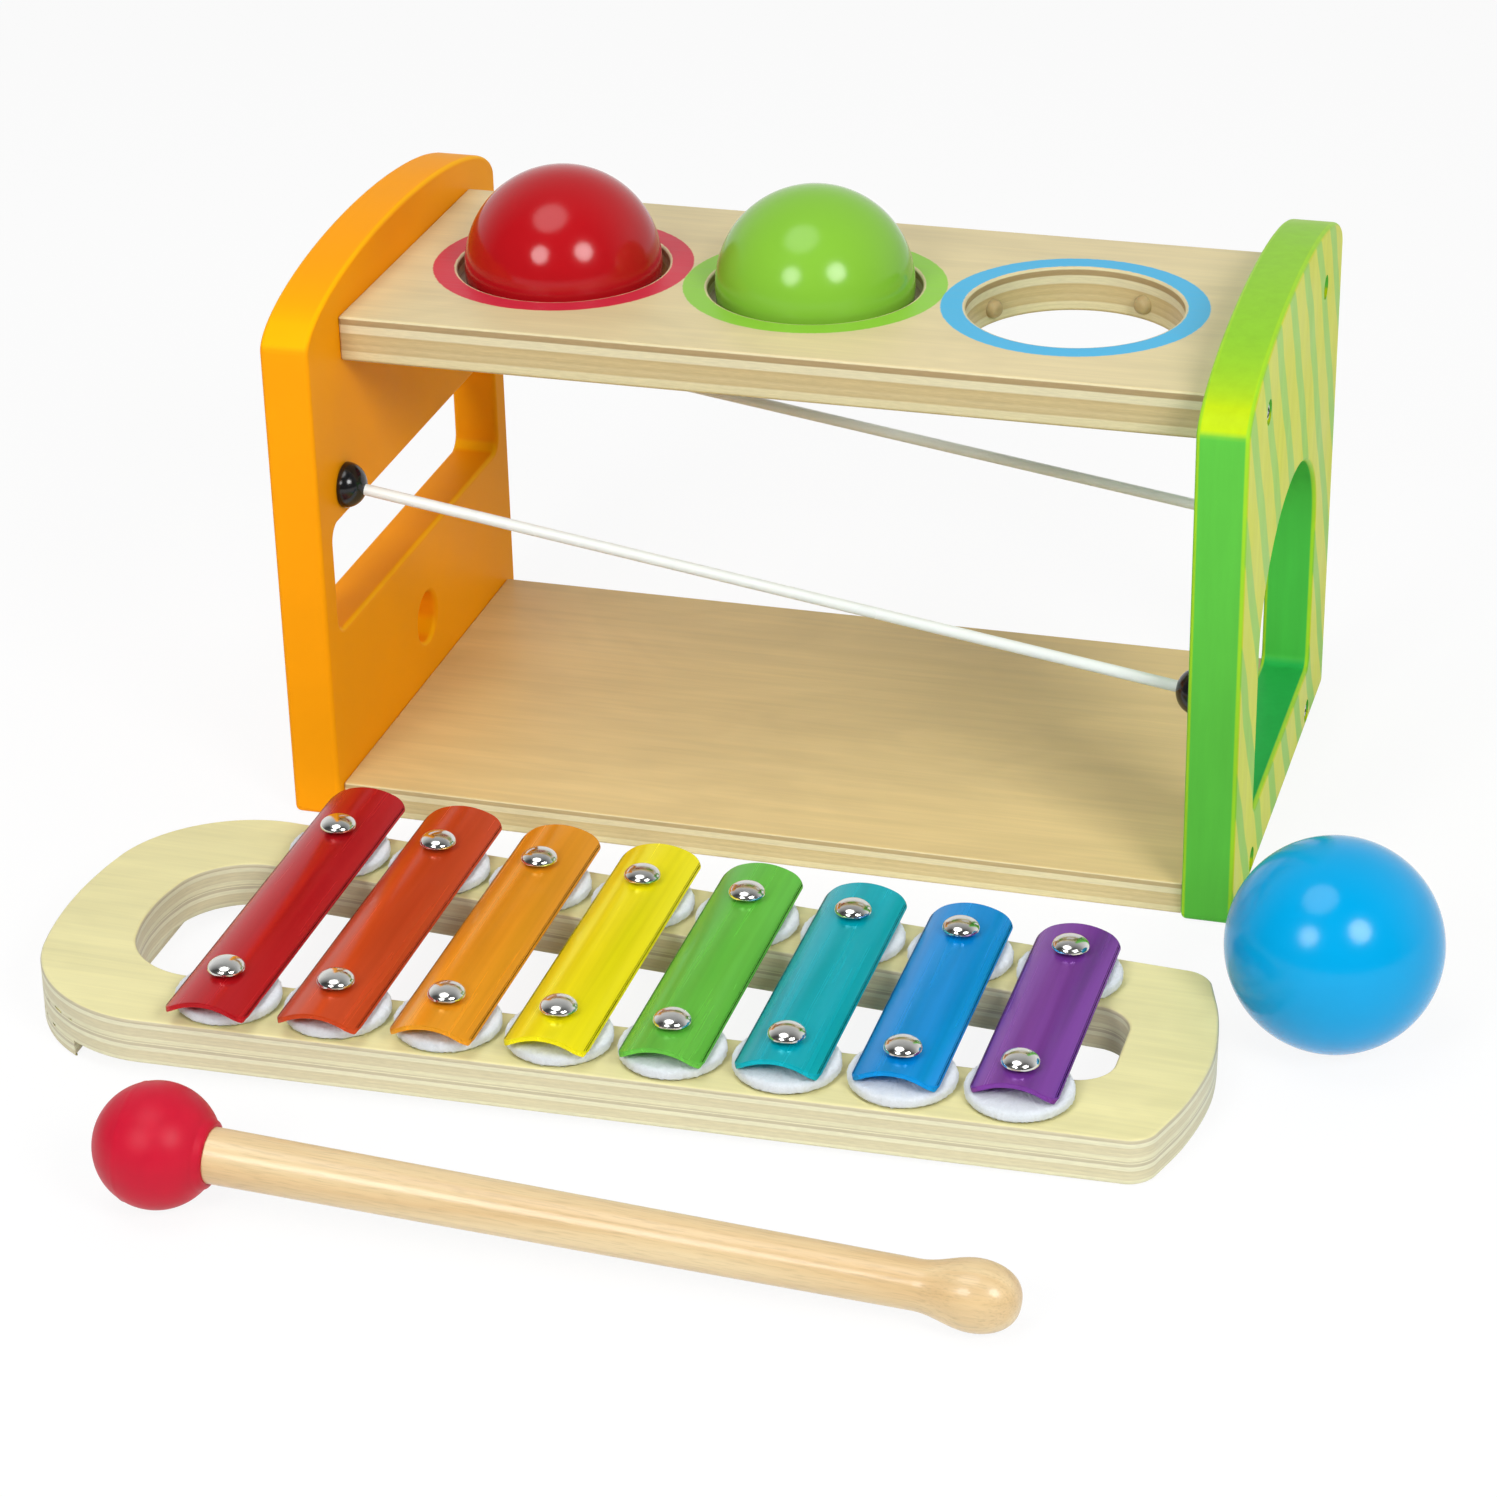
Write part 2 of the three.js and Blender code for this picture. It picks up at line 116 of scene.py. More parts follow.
# The xylophone is measured from its left end, with its underside at height 0.
XYLO_CORNER = (-0.1498, -0.1533)
XYLO_LENGTH = 0.285
XYLO_THICK = 0.012
XYLO_LIP_LENGTH = 0.020
XYLO_LIP_DROP = 0.004
XYLO_BOW = 0.008
XYLO_LEFT_BOW = 0.008
XYLO_RIGHT_CORNER = 0.007
XYLO_EASE = 0.0009
WINDOW_START = 0.0212
WINDOW_END = 0.2635
WINDOW_LEFT_BOW = 0.005
WINDOW_HALF_LEFT = 0.0285
WINDOW_HALF_RIGHT = 0.016
WINDOW_RIGHT_CORNER = 0.009
LEFT_BOW_SHARE = 0.2
LEFT_FLAT = 0.003
XYLO_HALF_LEFT = 0.052
XYLO_HALF_RIGHT = 0.0385
XYLO_BOW_HALF = 0.35 * XYLO_HALF_RIGHT
XYLO_TILT = math.atan2(XYLO_LIP_DROP, XYLO_LENGTH - XYLO_LIP_LENGTH)
FELT_BOTTOM = 0.0123
FELT_TOP = 0.0153
FELT_RADIUS = 0.0127
FELT_FUZZ_SIZE = 0.0008
FELT_FUZZ_DEPTH = 0.0007
BAR_START = 0.0564
BAR_PITCH = 0.027
BAR_WIDTH = 0.0205
BAR_RISE = 0.0036
BAR_SHEET = 0.0013
BAR_CORNER = 0.0034
BAR_EASE = 0.0003
BAR_LONGEST = 0.1108
BAR_SHORTEST = 0.075
BAR_SHIFT_LEFT = 0.0034
BAR_SHIFT_RIGHT = 0.002
BAR_GAP = 0.0003
BAR_RADIUS = (BAR_RISE**2 + (BAR_WIDTH / 2) ** 2) / (2 * BAR_RISE)
BAR_SPREAD = math.asin(BAR_WIDTH / 2 / BAR_RADIUS)
BAR_CROWN = BAR_RADIUS - (BAR_RADIUS - BAR_SHEET) * math.cos(BAR_SPREAD)
BAR_BOTTOM = FELT_TOP + BAR_GAP
PIN_SPAN_LEFT = 0.0726
PIN_SPAN_RIGHT = 0.0536
PIN_FOOT = 0.004
PIN_SHANK = 0.0013
PIN_HEAD = 0.0045
PIN_RIM = 0.0006
PIN_DOME = 0.0024
PIN_NECK = BAR_BOTTOM + BAR_CROWN + BAR_GAP

# The mallet runs from the middle of its head along its stick.
MALLET_PLACE = (-0.0852, -0.2508)
MALLET_YAW = math.radians(-0.6)
MALLET_HEAD = 0.0145
MALLET_SPAN = 0.188
STICK_RADIUS = 0.0065
STICK_NECK = 0.0056
KNOB_RADIUS = 0.008
KNOB_RAMP = 0.013
KNOB_TAIL = 0.010
KNOB_FULLNESS = 0.8
KNOB_STEPS = 10
STICK_SEAT = 0.006
STICK_ROUND = 0.0004
HEAD_SEAM = -0.005
HEAD_SEAM_REACH = 0.0003
HEAD_SEAM_SWELL = 1.008
HEAD_COLLAR_INNER = 0.0066
HEAD_COLLAR_OUTER = 0.0078
HEAD_COLLAR_RISE = 0.0006
MALLET_PITCH = math.asin(MALLET_HEAD / math.hypot(MALLET_SPAN, KNOB_RADIUS)) - math.atan2(
    KNOB_RADIUS, MALLET_SPAN
)
QUARTER = math.pi / 2

# How near counts as touching, in line or sharp while a shape is worked on.
TOUCHING = 1e-5
CORNER_REACH = 2e-4
SPOT_REACH = 1e-3
FLAT_WITHIN = math.radians(0.1)
SHARP_FROM = math.radians(50)

# The studio: each lamp's name, place, width and power, and the point that the lamps face.
FLOOR_SIZE = 12
FLOOR_GREY = (0.9, 0.9, 0.9, 1)
FLOOR_GLOW = 0.9
FAR_WHITE = 0.93
LAMPS = (
    ("top_softbox", (-0.22, -0.45, 1.49), 0.9, 7.8),
    ("left_lamp", (-0.28, -1.06, 0.70), 0.42, 5.4),
    ("right_lamp", (0.72, -0.75, 0.76), 0.45, 7.4),
)
LAMP_AIM = (0, -0.08, 0.05)

# The photograph's camera. Its focal length is in pixels of the square picture.
CAMERA_EYE = (0.2670, -0.9571, 0.5116)
CAMERA_AROUND = math.radians(16.73)
CAMERA_ABOVE = math.radians(27.27)
CAMERA_LEAN = math.radians(-1.30)
CAMERA_SENSOR = 36
PICTURE_WIDTH = 1497
PICTURE_FOCAL = 4118.5


def placed(x, y, z, turn=(0, 0, 0)):
    """The matrix of a place and a turn about X, then Y, then Z."""
    return Matrix.Translation((x, y, z)) @ Euler(turn, "XYZ").to_matrix().to_4x4()


XYLO_PLACE = placed(*XYLO_CORNER, XYLO_LENGTH * math.sin(XYLO_TILT), (0, XYLO_TILT, 0))
MALLET_MATRIX = placed(*MALLET_PLACE, MALLET_HEAD, (0, MALLET_PITCH + QUARTER, MALLET_YAW))


# Hand tools


def in_hand(obj):
    """Makes one object the only one selected."""
    bpy.ops.object.select_all(action="DESELECT")
    obj.select_set(True)
    bpy.context.view_layer.objects.active = obj


def begin(name, add, **sizes):
    """Starts a piece from a primitive, at its size and place."""
    bpy.ops.object.select_all(action="DESELECT")
    add(**sizes)
    obj = bpy.context.object
    obj.name = name
    obj.data.name = name
    bpy.ops.object.transform_apply(location=True, rotation=True, scale=True)
    return obj


def open_up(obj):
    in_hand(obj)
    bpy.ops.object.mode_set(mode="EDIT")


def close_up():
    bpy.ops.object.mode_set(mode="OBJECT")


def pick(obj, kind, test):
    """In edit mode, selects the points, edges or faces that pass a test."""
    bpy.ops.mesh.select_mode(type=kind)
    bpy.ops.mesh.select_all(action="DESELECT")
    mesh = bmesh.from_edit_mesh(obj.data)
    for part in {"VERT": mesh.verts, "EDGE": mesh.edges, "FACE": mesh.faces}[kind]:
        part.select_set(bool(test(part)))
    mesh.select_flush_mode()
    bmesh.update_edit_mesh(obj.data)


def runs_along(edge, axis):
    """True for an edge that lies along one axis."""
    way = edge.verts[1].co - edge.verts[0].co
    return way.length > 0 and abs(way[axis]) > 0.999 * way.length


def apply_modifier(obj, kind, **settings):
    in_hand(obj)
    tool = obj.modifiers.new("work", kind)
    for key, value in settings.items():
        setattr(tool, key, value)
    bpy.ops.object.modifier_apply(modifier=tool.name)


def put_away(model):
    """Deletes a tool or a model together with its mesh."""
    shape = model.data
    bpy.data.objects.remove(model)
    bpy.data.meshes.remove(shape)


def carve(obj, tool, how="DIFFERENCE"):
    """Cuts, joins or keeps the common part of a piece and a tool, then puts the tool away."""
    apply_modifier(obj, "BOOLEAN", operation=how, solver="EXACT", object=tool)
    put_away(tool)


def ease(obj, width, segments=3, angle=35):
    """Rounds the sharp edges of a piece."""
    apply_modifier(
        obj,
        "BEVEL",
        width=width,
        segments=segments,
        limit_method="ANGLE",
        angle_limit=math.radians(angle),
        use_clamp_overlap=False,
    )


def ease_half(obj, width, segments):
    """Rounds the sharp outer edges of a piece's rear half, then mirrors it to the front."""
    open_up(obj)
    bpy.ops.mesh.select_all(action="SELECT")
    bpy.ops.mesh.bisect(plane_co=(0, 0, 0), plane_no=(0, 1, 0), clear_inner=True)
    bpy.ops.mesh.select_all(action="SELECT")
    bpy.ops.mesh.dissolve_limited(angle_limit=FLAT_WITHIN)
    pick(obj, "EDGE", lambda edge: edge.is_convex and edge.calc_face_angle(0) > SHARP_FROM)
    bpy.ops.mesh.bevel(offset=width, segments=segments, affect="EDGES", clamp_overlap=False)
    close_up()
    apply_modifier(obj, "MIRROR", use_axis=(False, True, False), merge_threshold=TOUCHING)


def polish(obj, angle=40):
    """Smooth shading that keeps flat faces flat."""
    in_hand(obj)
    bpy.ops.object.shade_smooth_by_angle(angle=math.radians(angle))
    apply_modifier(obj, "WEIGHTED_NORMAL", keep_sharp=True, weight=80)


def seat(obj, matrix):
    """Puts a finished piece in its place, with the place in its mesh."""
    in_hand(obj)
    obj.matrix_world = matrix
    bpy.ops.object.transform_apply(location=True, rotation=True, scale=True)


def copy_of(model, name, matrix):
    """A copy of a model with its own mesh, seated in its place."""
    in_hand(model)
    bpy.ops.object.duplicate(linked=False)
    obj = bpy.context.object
    obj.name = name
    obj.data.name = name
    seat(obj, matrix)
    return obj


def block(name, low, high, corner=0, axis=0, steps=8):
    """A box with the edges along one axis rounded."""
    low, high = Vector(low), Vector(high)
    obj = begin(
        name, bpy.ops.mesh.primitive_cube_add, size=1, location=(low + high) / 2, scale=high - low
    )
    if corner:
        open_up(obj)
        pick(obj, "EDGE", lambda edge: runs_along(edge, axis))
        bpy.ops.mesh.bevel(offset=corner, segments=steps, affect="EDGES", clamp_overlap=False)
        close_up()
    return obj


def round_bar(name, radius, centre, length, turn=(0, 0, 0), sides=96):
    """A plain round tool for holes."""
    return begin(
        name,
        bpy.ops.mesh.primitive_cylinder_add,
        vertices=sides,
        radius=radius,
        depth=length,
        location=centre,
        rotation=turn,
    )


def archway(name, x_low, x_high, half, foot, spring, rise, corner):
    """An upright slab with a half-ellipse top and two rounded feet."""
    middle = (x_low + x_high) / 2
    top = (middle, 0, spring)
    obj = round_bar(name, 1, top, x_high - x_low, (0, QUARTER, 0), 256)
    open_up(obj)
    bpy.ops.mesh.select_all(action="SELECT")
    bpy.ops.transform.resize(value=(1, half, rise), center_override=top)
    bpy.ops.mesh.bisect(plane_co=top, plane_no=(0, 0, 1), use_fill=True, clear_inner=True)
    pick(obj, "FACE", lambda face: face.normal.z < -0.9)
    bpy.ops.mesh.extrude_region_move(TRANSFORM_OT_translate={"value": (0, 0, foot - spring)})
    pick(
        obj,
        "EDGE",
        lambda edge: runs_along(edge, 0)
        and edge.verts[0].co.z < foot + TOUCHING
        and abs(edge.verts[0].co.y) > half - 10 * TOUCHING,
    )
    bpy.ops.mesh.bevel(offset=corner, segments=6, affect="EDGES", clamp_overlap=False)
    close_up()
    return obj


def turned(name, profile, sides=64):
    """A turned piece about Z, drawn up ring by ring through (radius, height) points."""
    (radius, height), (_, rise_to) = profile[0], profile[1]
    obj = round_bar(name, radius, (0, 0, (height + rise_to) / 2), rise_to - height, sides=sides)
    open_up(obj)
    pick(obj, "FACE", lambda face: face.normal.z > 0.9)
    last = radius
    for step, (wide, high) in enumerate(profile[1:]):
        if step:
            bpy.ops.mesh.extrude_region_move(
                TRANSFORM_OT_translate={"value": (0, 0, high - height)}
            )
        height = high
        if wide == 0:
            bpy.ops.mesh.merge(type="CENTER")
            break
        ratio = wide / last
        bpy.ops.transform.resize(value=(ratio, ratio, 1), center_override=(0, 0, high))
        last = wide
    close_up()
    return obj


def dome(radius, rise, base, steps, fullness=1.0):
    """Points of a dome's outline from its rim to its top, blunter for a lower fullness."""
    angles = [QUARTER * step / steps for step in range(1, steps)]
    rings = [(radius * math.cos(a) ** fullness, base + rise * math.sin(a)) for a in angles]
    return [*rings, (0, base + rise)]


def corner_turn(corners, i):
    """How far an outline turns at one of its corners."""
    here = Vector(corners[i][:2])
    arriving = here - Vector(corners[i - 1][:2])
    leaving = Vector(corners[(i + 1) % len(corners)][:2]) - here
    return arriving.angle(leaving)


def plate(name, corners, low, high):
    """A flat plate through (x, y, radius) corners given anticlockwise, each corner rounded."""
    count = len(corners)
    obj = round_bar(name, 1, (0, 0, (low + high) / 2), high - low, sides=count)
    open_up(obj)
    mesh = bmesh.from_edit_mesh(obj.data)
    rim = {(round(v.co.x, 4), round(v.co.y, 4)) for v in mesh.verts}
    rim = sorted(rim, key=lambda spot: math.atan2(spot[1], spot[0]))
    # the outline is sorted the same way round its own middle
    middle = sum((Vector(c[:2]) for c in corners), Vector((0, 0))) / count
    order = sorted(
        range(count),
        key=lambda i: math.atan2(corners[i][1] - middle.y, corners[i][0] - middle.x),
    )
    for spot, i in zip(rim, order):
        pick(obj, "VERT", lambda v: (v.co.xy - Vector(spot)).length < SPOT_REACH)
        shift = (corners[i][0] - spot[0], corners[i][1] - spot[1], 0)
        bpy.ops.transform.translate(value=shift)
    for i, (x, y, radius) in enumerate(corners):
        corner = Vector((x, y))
        pick(
            obj,
            "EDGE",
            lambda e: runs_along(e, 2) and (e.verts[0].co.xy - corner).length < CORNER_REACH,
        )
        steps = 28 if radius > 0.015 else 12
        offset = radius * math.tan(corner_turn(corners, i) / 2)
        bpy.ops.mesh.bevel(offset=offset, segments=steps, affect="EDGES", clamp_overlap=False)
    close_up()
    return obj


# Shader helpers


def tone(red, green, blue):
    """A colour as a screen shows it, 0 to 255, in the shader's linear numbers."""
    parts = [v / 255 for v in (red, green, blue)]
    return tuple(v / 12.92 if v <= 0.04045 else ((v + 0.055) / 1.055) ** 2.4 for v in parts) + (1,)


def add(tree, kind, inputs=None, **settings):
    """Adds a node, sets it, and wires or sets its inputs."""
    made = tree.nodes.new(kind)
    for key, value in settings.items():
        setattr(made, key, value)
    for key, value in (inputs or {}).items():
        if isinstance(value, bpy.types.NodeSocket):
            tree.links.new(value, made.inputs[key])
        else:
            made.inputs[key].default_value = value
    return made


def calc(tree, operation, a, b=0.0, clamp=False):
    node = add(tree, "ShaderNodeMath", {0: a, 1: b}, operation=operation, use_clamp=clamp)
    return node.outputs[0]


def blend(tree, share, a, b):
    """A colour between two, by a share from 0 to 1."""
    node = add(tree, "ShaderNodeMix", {0: share, 6: a, 7: b}, data_type="RGBA")
    return node.outputs[2]


def ramp(tree, value, low, high, to_low=0.0, to_high=1.0):
    """A value carried from one range to another, kept inside it."""
    ends = {0: value, 1: low, 2: high, 3: to_low, 4: to_high}
    return add(tree, "ShaderNodeMapRange", ends).outputs[0]


def stretch(tree, vector, scale, place=(0, 0, 0), turn=(0, 0, 0)):
    spots = {"Vector": vector, "Scale": scale, "Location": place, "Rotation": turn}
    return add(tree, "ShaderNodeMapping", spots).outputs[0]


def noise(tree, vector, scale=1.0, detail=4.0, rough=0.5, distortion=0.0):
    ends = {"Vector": vector, "Scale": scale, "Detail": detail}
    ends.update({"Roughness": rough, "Distortion": distortion})
    return add(tree, "ShaderNodeTexNoise", ends).outputs[0]


def shade(tree, colour, value):
    """A colour made lighter or darker, where 1 leaves it as it is."""
    ends = {"Color": colour, "Value": value, "Saturation": 1.0}
    return add(tree, "ShaderNodeHueSaturation", ends).outputs[0]


def new_group(name, inputs, outputs):
    """A shader group with named sockets: its tree, its inputs and its output node."""
    tree = bpy.data.node_groups.new(name, "ShaderNodeTree")
    for label, kind, value in inputs:
        socket = tree.interface.new_socket(label, in_out="INPUT", socket_type=kind)
        if value is not None:
            socket.default_value = value
    for label, kind in outputs:
        tree.interface.new_socket(label, in_out="OUTPUT", socket_type=kind)
    return tree, tree.nodes.new("NodeGroupInput").outputs, tree.nodes.new("NodeGroupOutput").inputs


def use(tree, group, inputs):
    """Places a shader group in a material with its own values."""
    return add(tree, "ShaderNodeGroup", inputs, node_tree=group).outputs


COLOUR, NUMBER, VECTOR = "NodeSocketColor", "NodeSocketFloat", "NodeSocketVector"


def grain_group():
    """Wood grain that runs along X."""
    tree, given, out = new_group(
        "wood_grain", [("Vector", VECTOR, None)], [("Streaks", NUMBER), ("Figure", NUMBER)]
    )
    streaks = noise(tree, stretch(tree, given["Vector"], (16, 620, 620)), 1, 6, 0.62, 0.4)
    figure = noise(tree, stretch(tree, given["Vector"], (7, 75, 75)), 1, 3, 0.5, 1.2)
    tree.links.new(streaks, out["Streaks"])
    tree.links.new(figure, out["Figure"])
    return tree


def paint_group():
    """Sprayed paint: a faint change of tone and a fine orange-peel skin."""
    tree, given, out = new_group(
        "paint_skin",
        [("Colour", COLOUR, (1, 1, 1, 1)), ("Vector", VECTOR, None), ("Mottle", NUMBER, 0.1)],
        [("Colour", COLOUR), ("Tone", NUMBER), ("Peel", NUMBER)],
    )
    broad = noise(tree, given["Vector"], 32, 3, 0.5)
    swing = calc(tree, "MULTIPLY", calc(tree, "SUBTRACT", broad, 0.5), given["Mottle"])
    tree.links.new(shade(tree, given["Colour"], calc(tree, "ADD", 1.0, swing)), out["Colour"])
    tree.links.new(broad, out["Tone"])
    tree.links.new(noise(tree, given["Vector"], 420, 2, 0.4), out["Peel"])
    return tree


def ply_group():
    """The cut edge of plywood: layers by height, with streaks along each layer."""
    tree, given, out = new_group(
        "ply_edge",
        [
            ("Height", NUMBER, 0.5),
            ("Vector", VECTOR, None),
            ("Strength", NUMBER, 1.0),
            ("Plain", COLOUR, (1, 1, 1, 1)),
        ],
        [("Colour", COLOUR), ("Bump", NUMBER)],
    )
    wander = noise(tree, stretch(tree, given["Vector"], (22, 22, 60)), 1, 3, 0.5)
    level = calc(
        tree, "ADD", given["Height"], calc(tree, "MULTIPLY", calc(tree, "SUBTRACT", wander, 0.5), 0.03)
    )
    layers = add(tree, "ShaderNodeValToRGB", {0: level})
    stops = [
        (0.00, (150, 122, 78)),
        (0.04, (206, 186, 134)),
        (0.08, (224, 212, 166)),
        (0.22, (226, 214, 170)),
        (0.25, (200, 178, 128)),
        (0.36, (212, 192, 142)),
        (0.42, (200, 178, 128)),
        (0.52, (210, 188, 136)),
        (0.62, (198, 174, 122)),
        (0.65, (228, 218, 180)),
        (0.81, (230, 220, 182)),
        (0.83, (172, 146, 102)),
        (0.94, (178, 152, 108)),
        (0.96, (230, 218, 174)),
    ]
    ramp_stops = layers.color_ramp.elements
    while len(ramp_stops) < len(stops):
        ramp_stops.new(0.5)
    for stop, (spot, colour) in zip(ramp_stops, stops):
        stop.position = spot
        stop.color = tone(*colour)
    streaks = noise(tree, stretch(tree, given["Vector"], (60, 60, 2600)), 1, 5, 0.65)
    pores = noise(tree, stretch(tree, given["Vector"], (420, 420, 3600)), 1, 2, 0.5)
    fleck = ramp(tree, pores, 0.35, 0.7, -0.06, 0.03)
    dark = calc(tree, "ADD", ramp(tree, streaks, 0.3, 0.7, 0.93, 1.05), fleck)
    plain = blend(tree, given["Strength"], given["Plain"], layers.outputs[0])
    tree.links.new(shade(tree, plain, dark), out["Colour"])
    tree.links.new(streaks, out["Bump"])
    return tree


GRAIN, PAINT, PLY = grain_group(), paint_group(), ply_group()


def new_finish(name, **constants):
    """A material with its plain values set on the shader: its tree, shader and object coordinates."""
    material = bpy.data.materials.new(name)
    material.use_nodes = True
    tree = material.node_tree
    shader = tree.nodes["Principled BSDF"]
    for key, value in constants.items():
        shader.inputs[key.replace("_", " ")].default_value = value
    spots = add(tree, "ShaderNodeTexCoord").outputs["Object"]
    return material, tree, shader, spots


def wire(tree, shader, **links):
    for key, value in links.items():
        tree.links.new(value, shader.inputs[key.replace("_", " ")])


def bumped(tree, height, strength, distance=0.0002):
    ends = {"Strength": strength, "Distance": distance, "Height": height}
    return add(tree, "ShaderNodeBump", ends).outputs[0]


def painted(name, colour, roughness=0.3, mottle=0.1, shine=0.25, peel=0.06, highlight_tone=None):
    """Gloss paint on wood, with a painted highlight, a lighter second colour where a panel's top rounds
    over, if asked.
    """
    material, tree, shader, spots = new_finish(name, Specular_IOR_Level=shine)
    # a painted highlight: the band where the top rounds over takes a lighter colour
    if highlight_tone:
        colour = blend(tree, highlight_band(tree, face_way(tree)), colour, highlight_tone)
    skin = use(tree, PAINT, {"Colour": colour, "Vector": spots, "Mottle": mottle})
    wire(
        tree,
        shader,
        Base_Color=skin["Colour"],
        Roughness=ramp(tree, skin["Tone"], 0.3, 0.7, roughness - 0.04, roughness + 0.05),
        Normal=bumped(tree, skin["Peel"], peel),
    )
    return material


def face_way(tree):
    """The surface direction, as three numbers."""
    way = add(tree, "ShaderNodeNewGeometry").outputs["Normal"]
    return add(tree, "ShaderNodeSeparateXYZ", {0: way}).outputs


def highlight_band(tree, way):
    """1 where a panel's edge rounds over from upright to flat, 0 elsewhere: the band that takes a
    painted highlight.
    """
    return calc(
        tree, "MULTIPLY", ramp(tree, way["Z"], 0.3, 0.55), ramp(tree, way["Z"], 0.88, 0.99, 1.0, 0.0)
    )


def striped_green(name):
    """Green paint with pale slanting stripes on the outer face, and painted light and shade: a lighter
    top, a highlight band where the top rounds over, highlights on the eased edges and a deeper green as
    shade in the doorway.
    """
    material, tree, shader, spots = new_finish(name, Specular_IOR_Level=0.06)
    _, y, z = add(tree, "ShaderNodeSeparateXYZ", {0: spots}).outputs
    way = face_way(tree)
    wave = noise(tree, stretch(tree, spots, (0, 20, 40)), 1, 1.5, 0.4)
    sway = calc(tree, "MULTIPLY", calc(tree, "SUBTRACT", wave, 0.5), STRIPE_SWAY)
    start = calc(tree, "ADD", y, STRIPE_START)
    slant = calc(tree, "ADD", start, calc(tree, "MULTIPLY", z, STRIPE_SLANT))
    across = calc(tree, "ADD", slant, sway)
    beat = calc(tree, "SINE", calc(tree, "MULTIPLY", across, 2 * math.pi / STRIPE_PITCH))
    stripe = ramp(tree, beat, 0.2, 0.5)
    outer = ramp(tree, way["X"], 0.75, 0.95)
    upper = ramp(tree, z, 0.02, 0.11)
    side = calc(tree, "ABSOLUTE", way["X"])
    # the eased edges between the faces, which get a painted highlight in a lighter lime
    rim = calc(tree, "MULTIPLY", ramp(tree, side, 0.15, 0.4), ramp(tree, side, 0.75, 0.93, 1.0, 0.0))
    # the doorway's walls, which are painted a deeper green as shade
    doorway = calc(
        tree,
        "MULTIPLY",
        calc(tree, "LESS_THAN", calc(tree, "ABSOLUTE", y), DOOR_HALF + DOOR_SHADE_MARGIN),
        calc(
            tree,
            "MULTIPLY",
            calc(tree, "GREATER_THAN", z, DOOR_SILL - DOOR_SHADE_MARGIN),
            calc(tree, "LESS_THAN", z, DOOR_SPRING + DOOR_RISE + DOOR_SHADE_MARGIN),
        ),
    )
    # painted light: faces that turn up are a lighter, yellower green than upright faces
    plain = blend(tree, ramp(tree, way["Z"], 0.1, 0.6), tone(92, 189, 66), tone(142, 200, 48))
    # painted highlight: a yellow band where the top rounds over
    plain = blend(tree, highlight_band(tree, way), plain, tone(186, 214, 20))
    # painted shade: a deeper green in the doorway, deeper still on faces that turn up
    doorway_shade = blend(tree, ramp(tree, way["Z"], 0.3, 0.8), tone(74, 188, 72), tone(42, 176, 78))
    plain = blend(tree, doorway, plain, doorway_shade)
    # painted highlight on the eased edges
    plain = blend(tree, rim, plain, tone(158, 212, 44))
    pale = blend(tree, upper, tone(206, 213, 10), tone(208, 214, 44))
    deep = blend(tree, upper, tone(140, 200, 34), tone(156, 206, 72))
    stripes = blend(tree, stripe, pale, deep)
    skin = use(
        tree, PAINT, {"Colour": blend(tree, outer, plain, stripes), "Vector": spots, "Mottle": 0.1}
    )
    fibres = noise(tree, stretch(tree, spots, (300, 300, 30)), 1, 4, 0.6)
    colour = shade(tree, skin["Colour"], ramp(tree, fibres, 0.3, 0.7, 0.95, 1.04))
    wire(
        tree,
        shader,
        Base_Color=colour,
        Roughness=ramp(tree, skin["Tone"], 0.3, 0.7, 0.3, 0.42),
        Normal=bumped(tree, fibres, 0.08),
    )
    return material


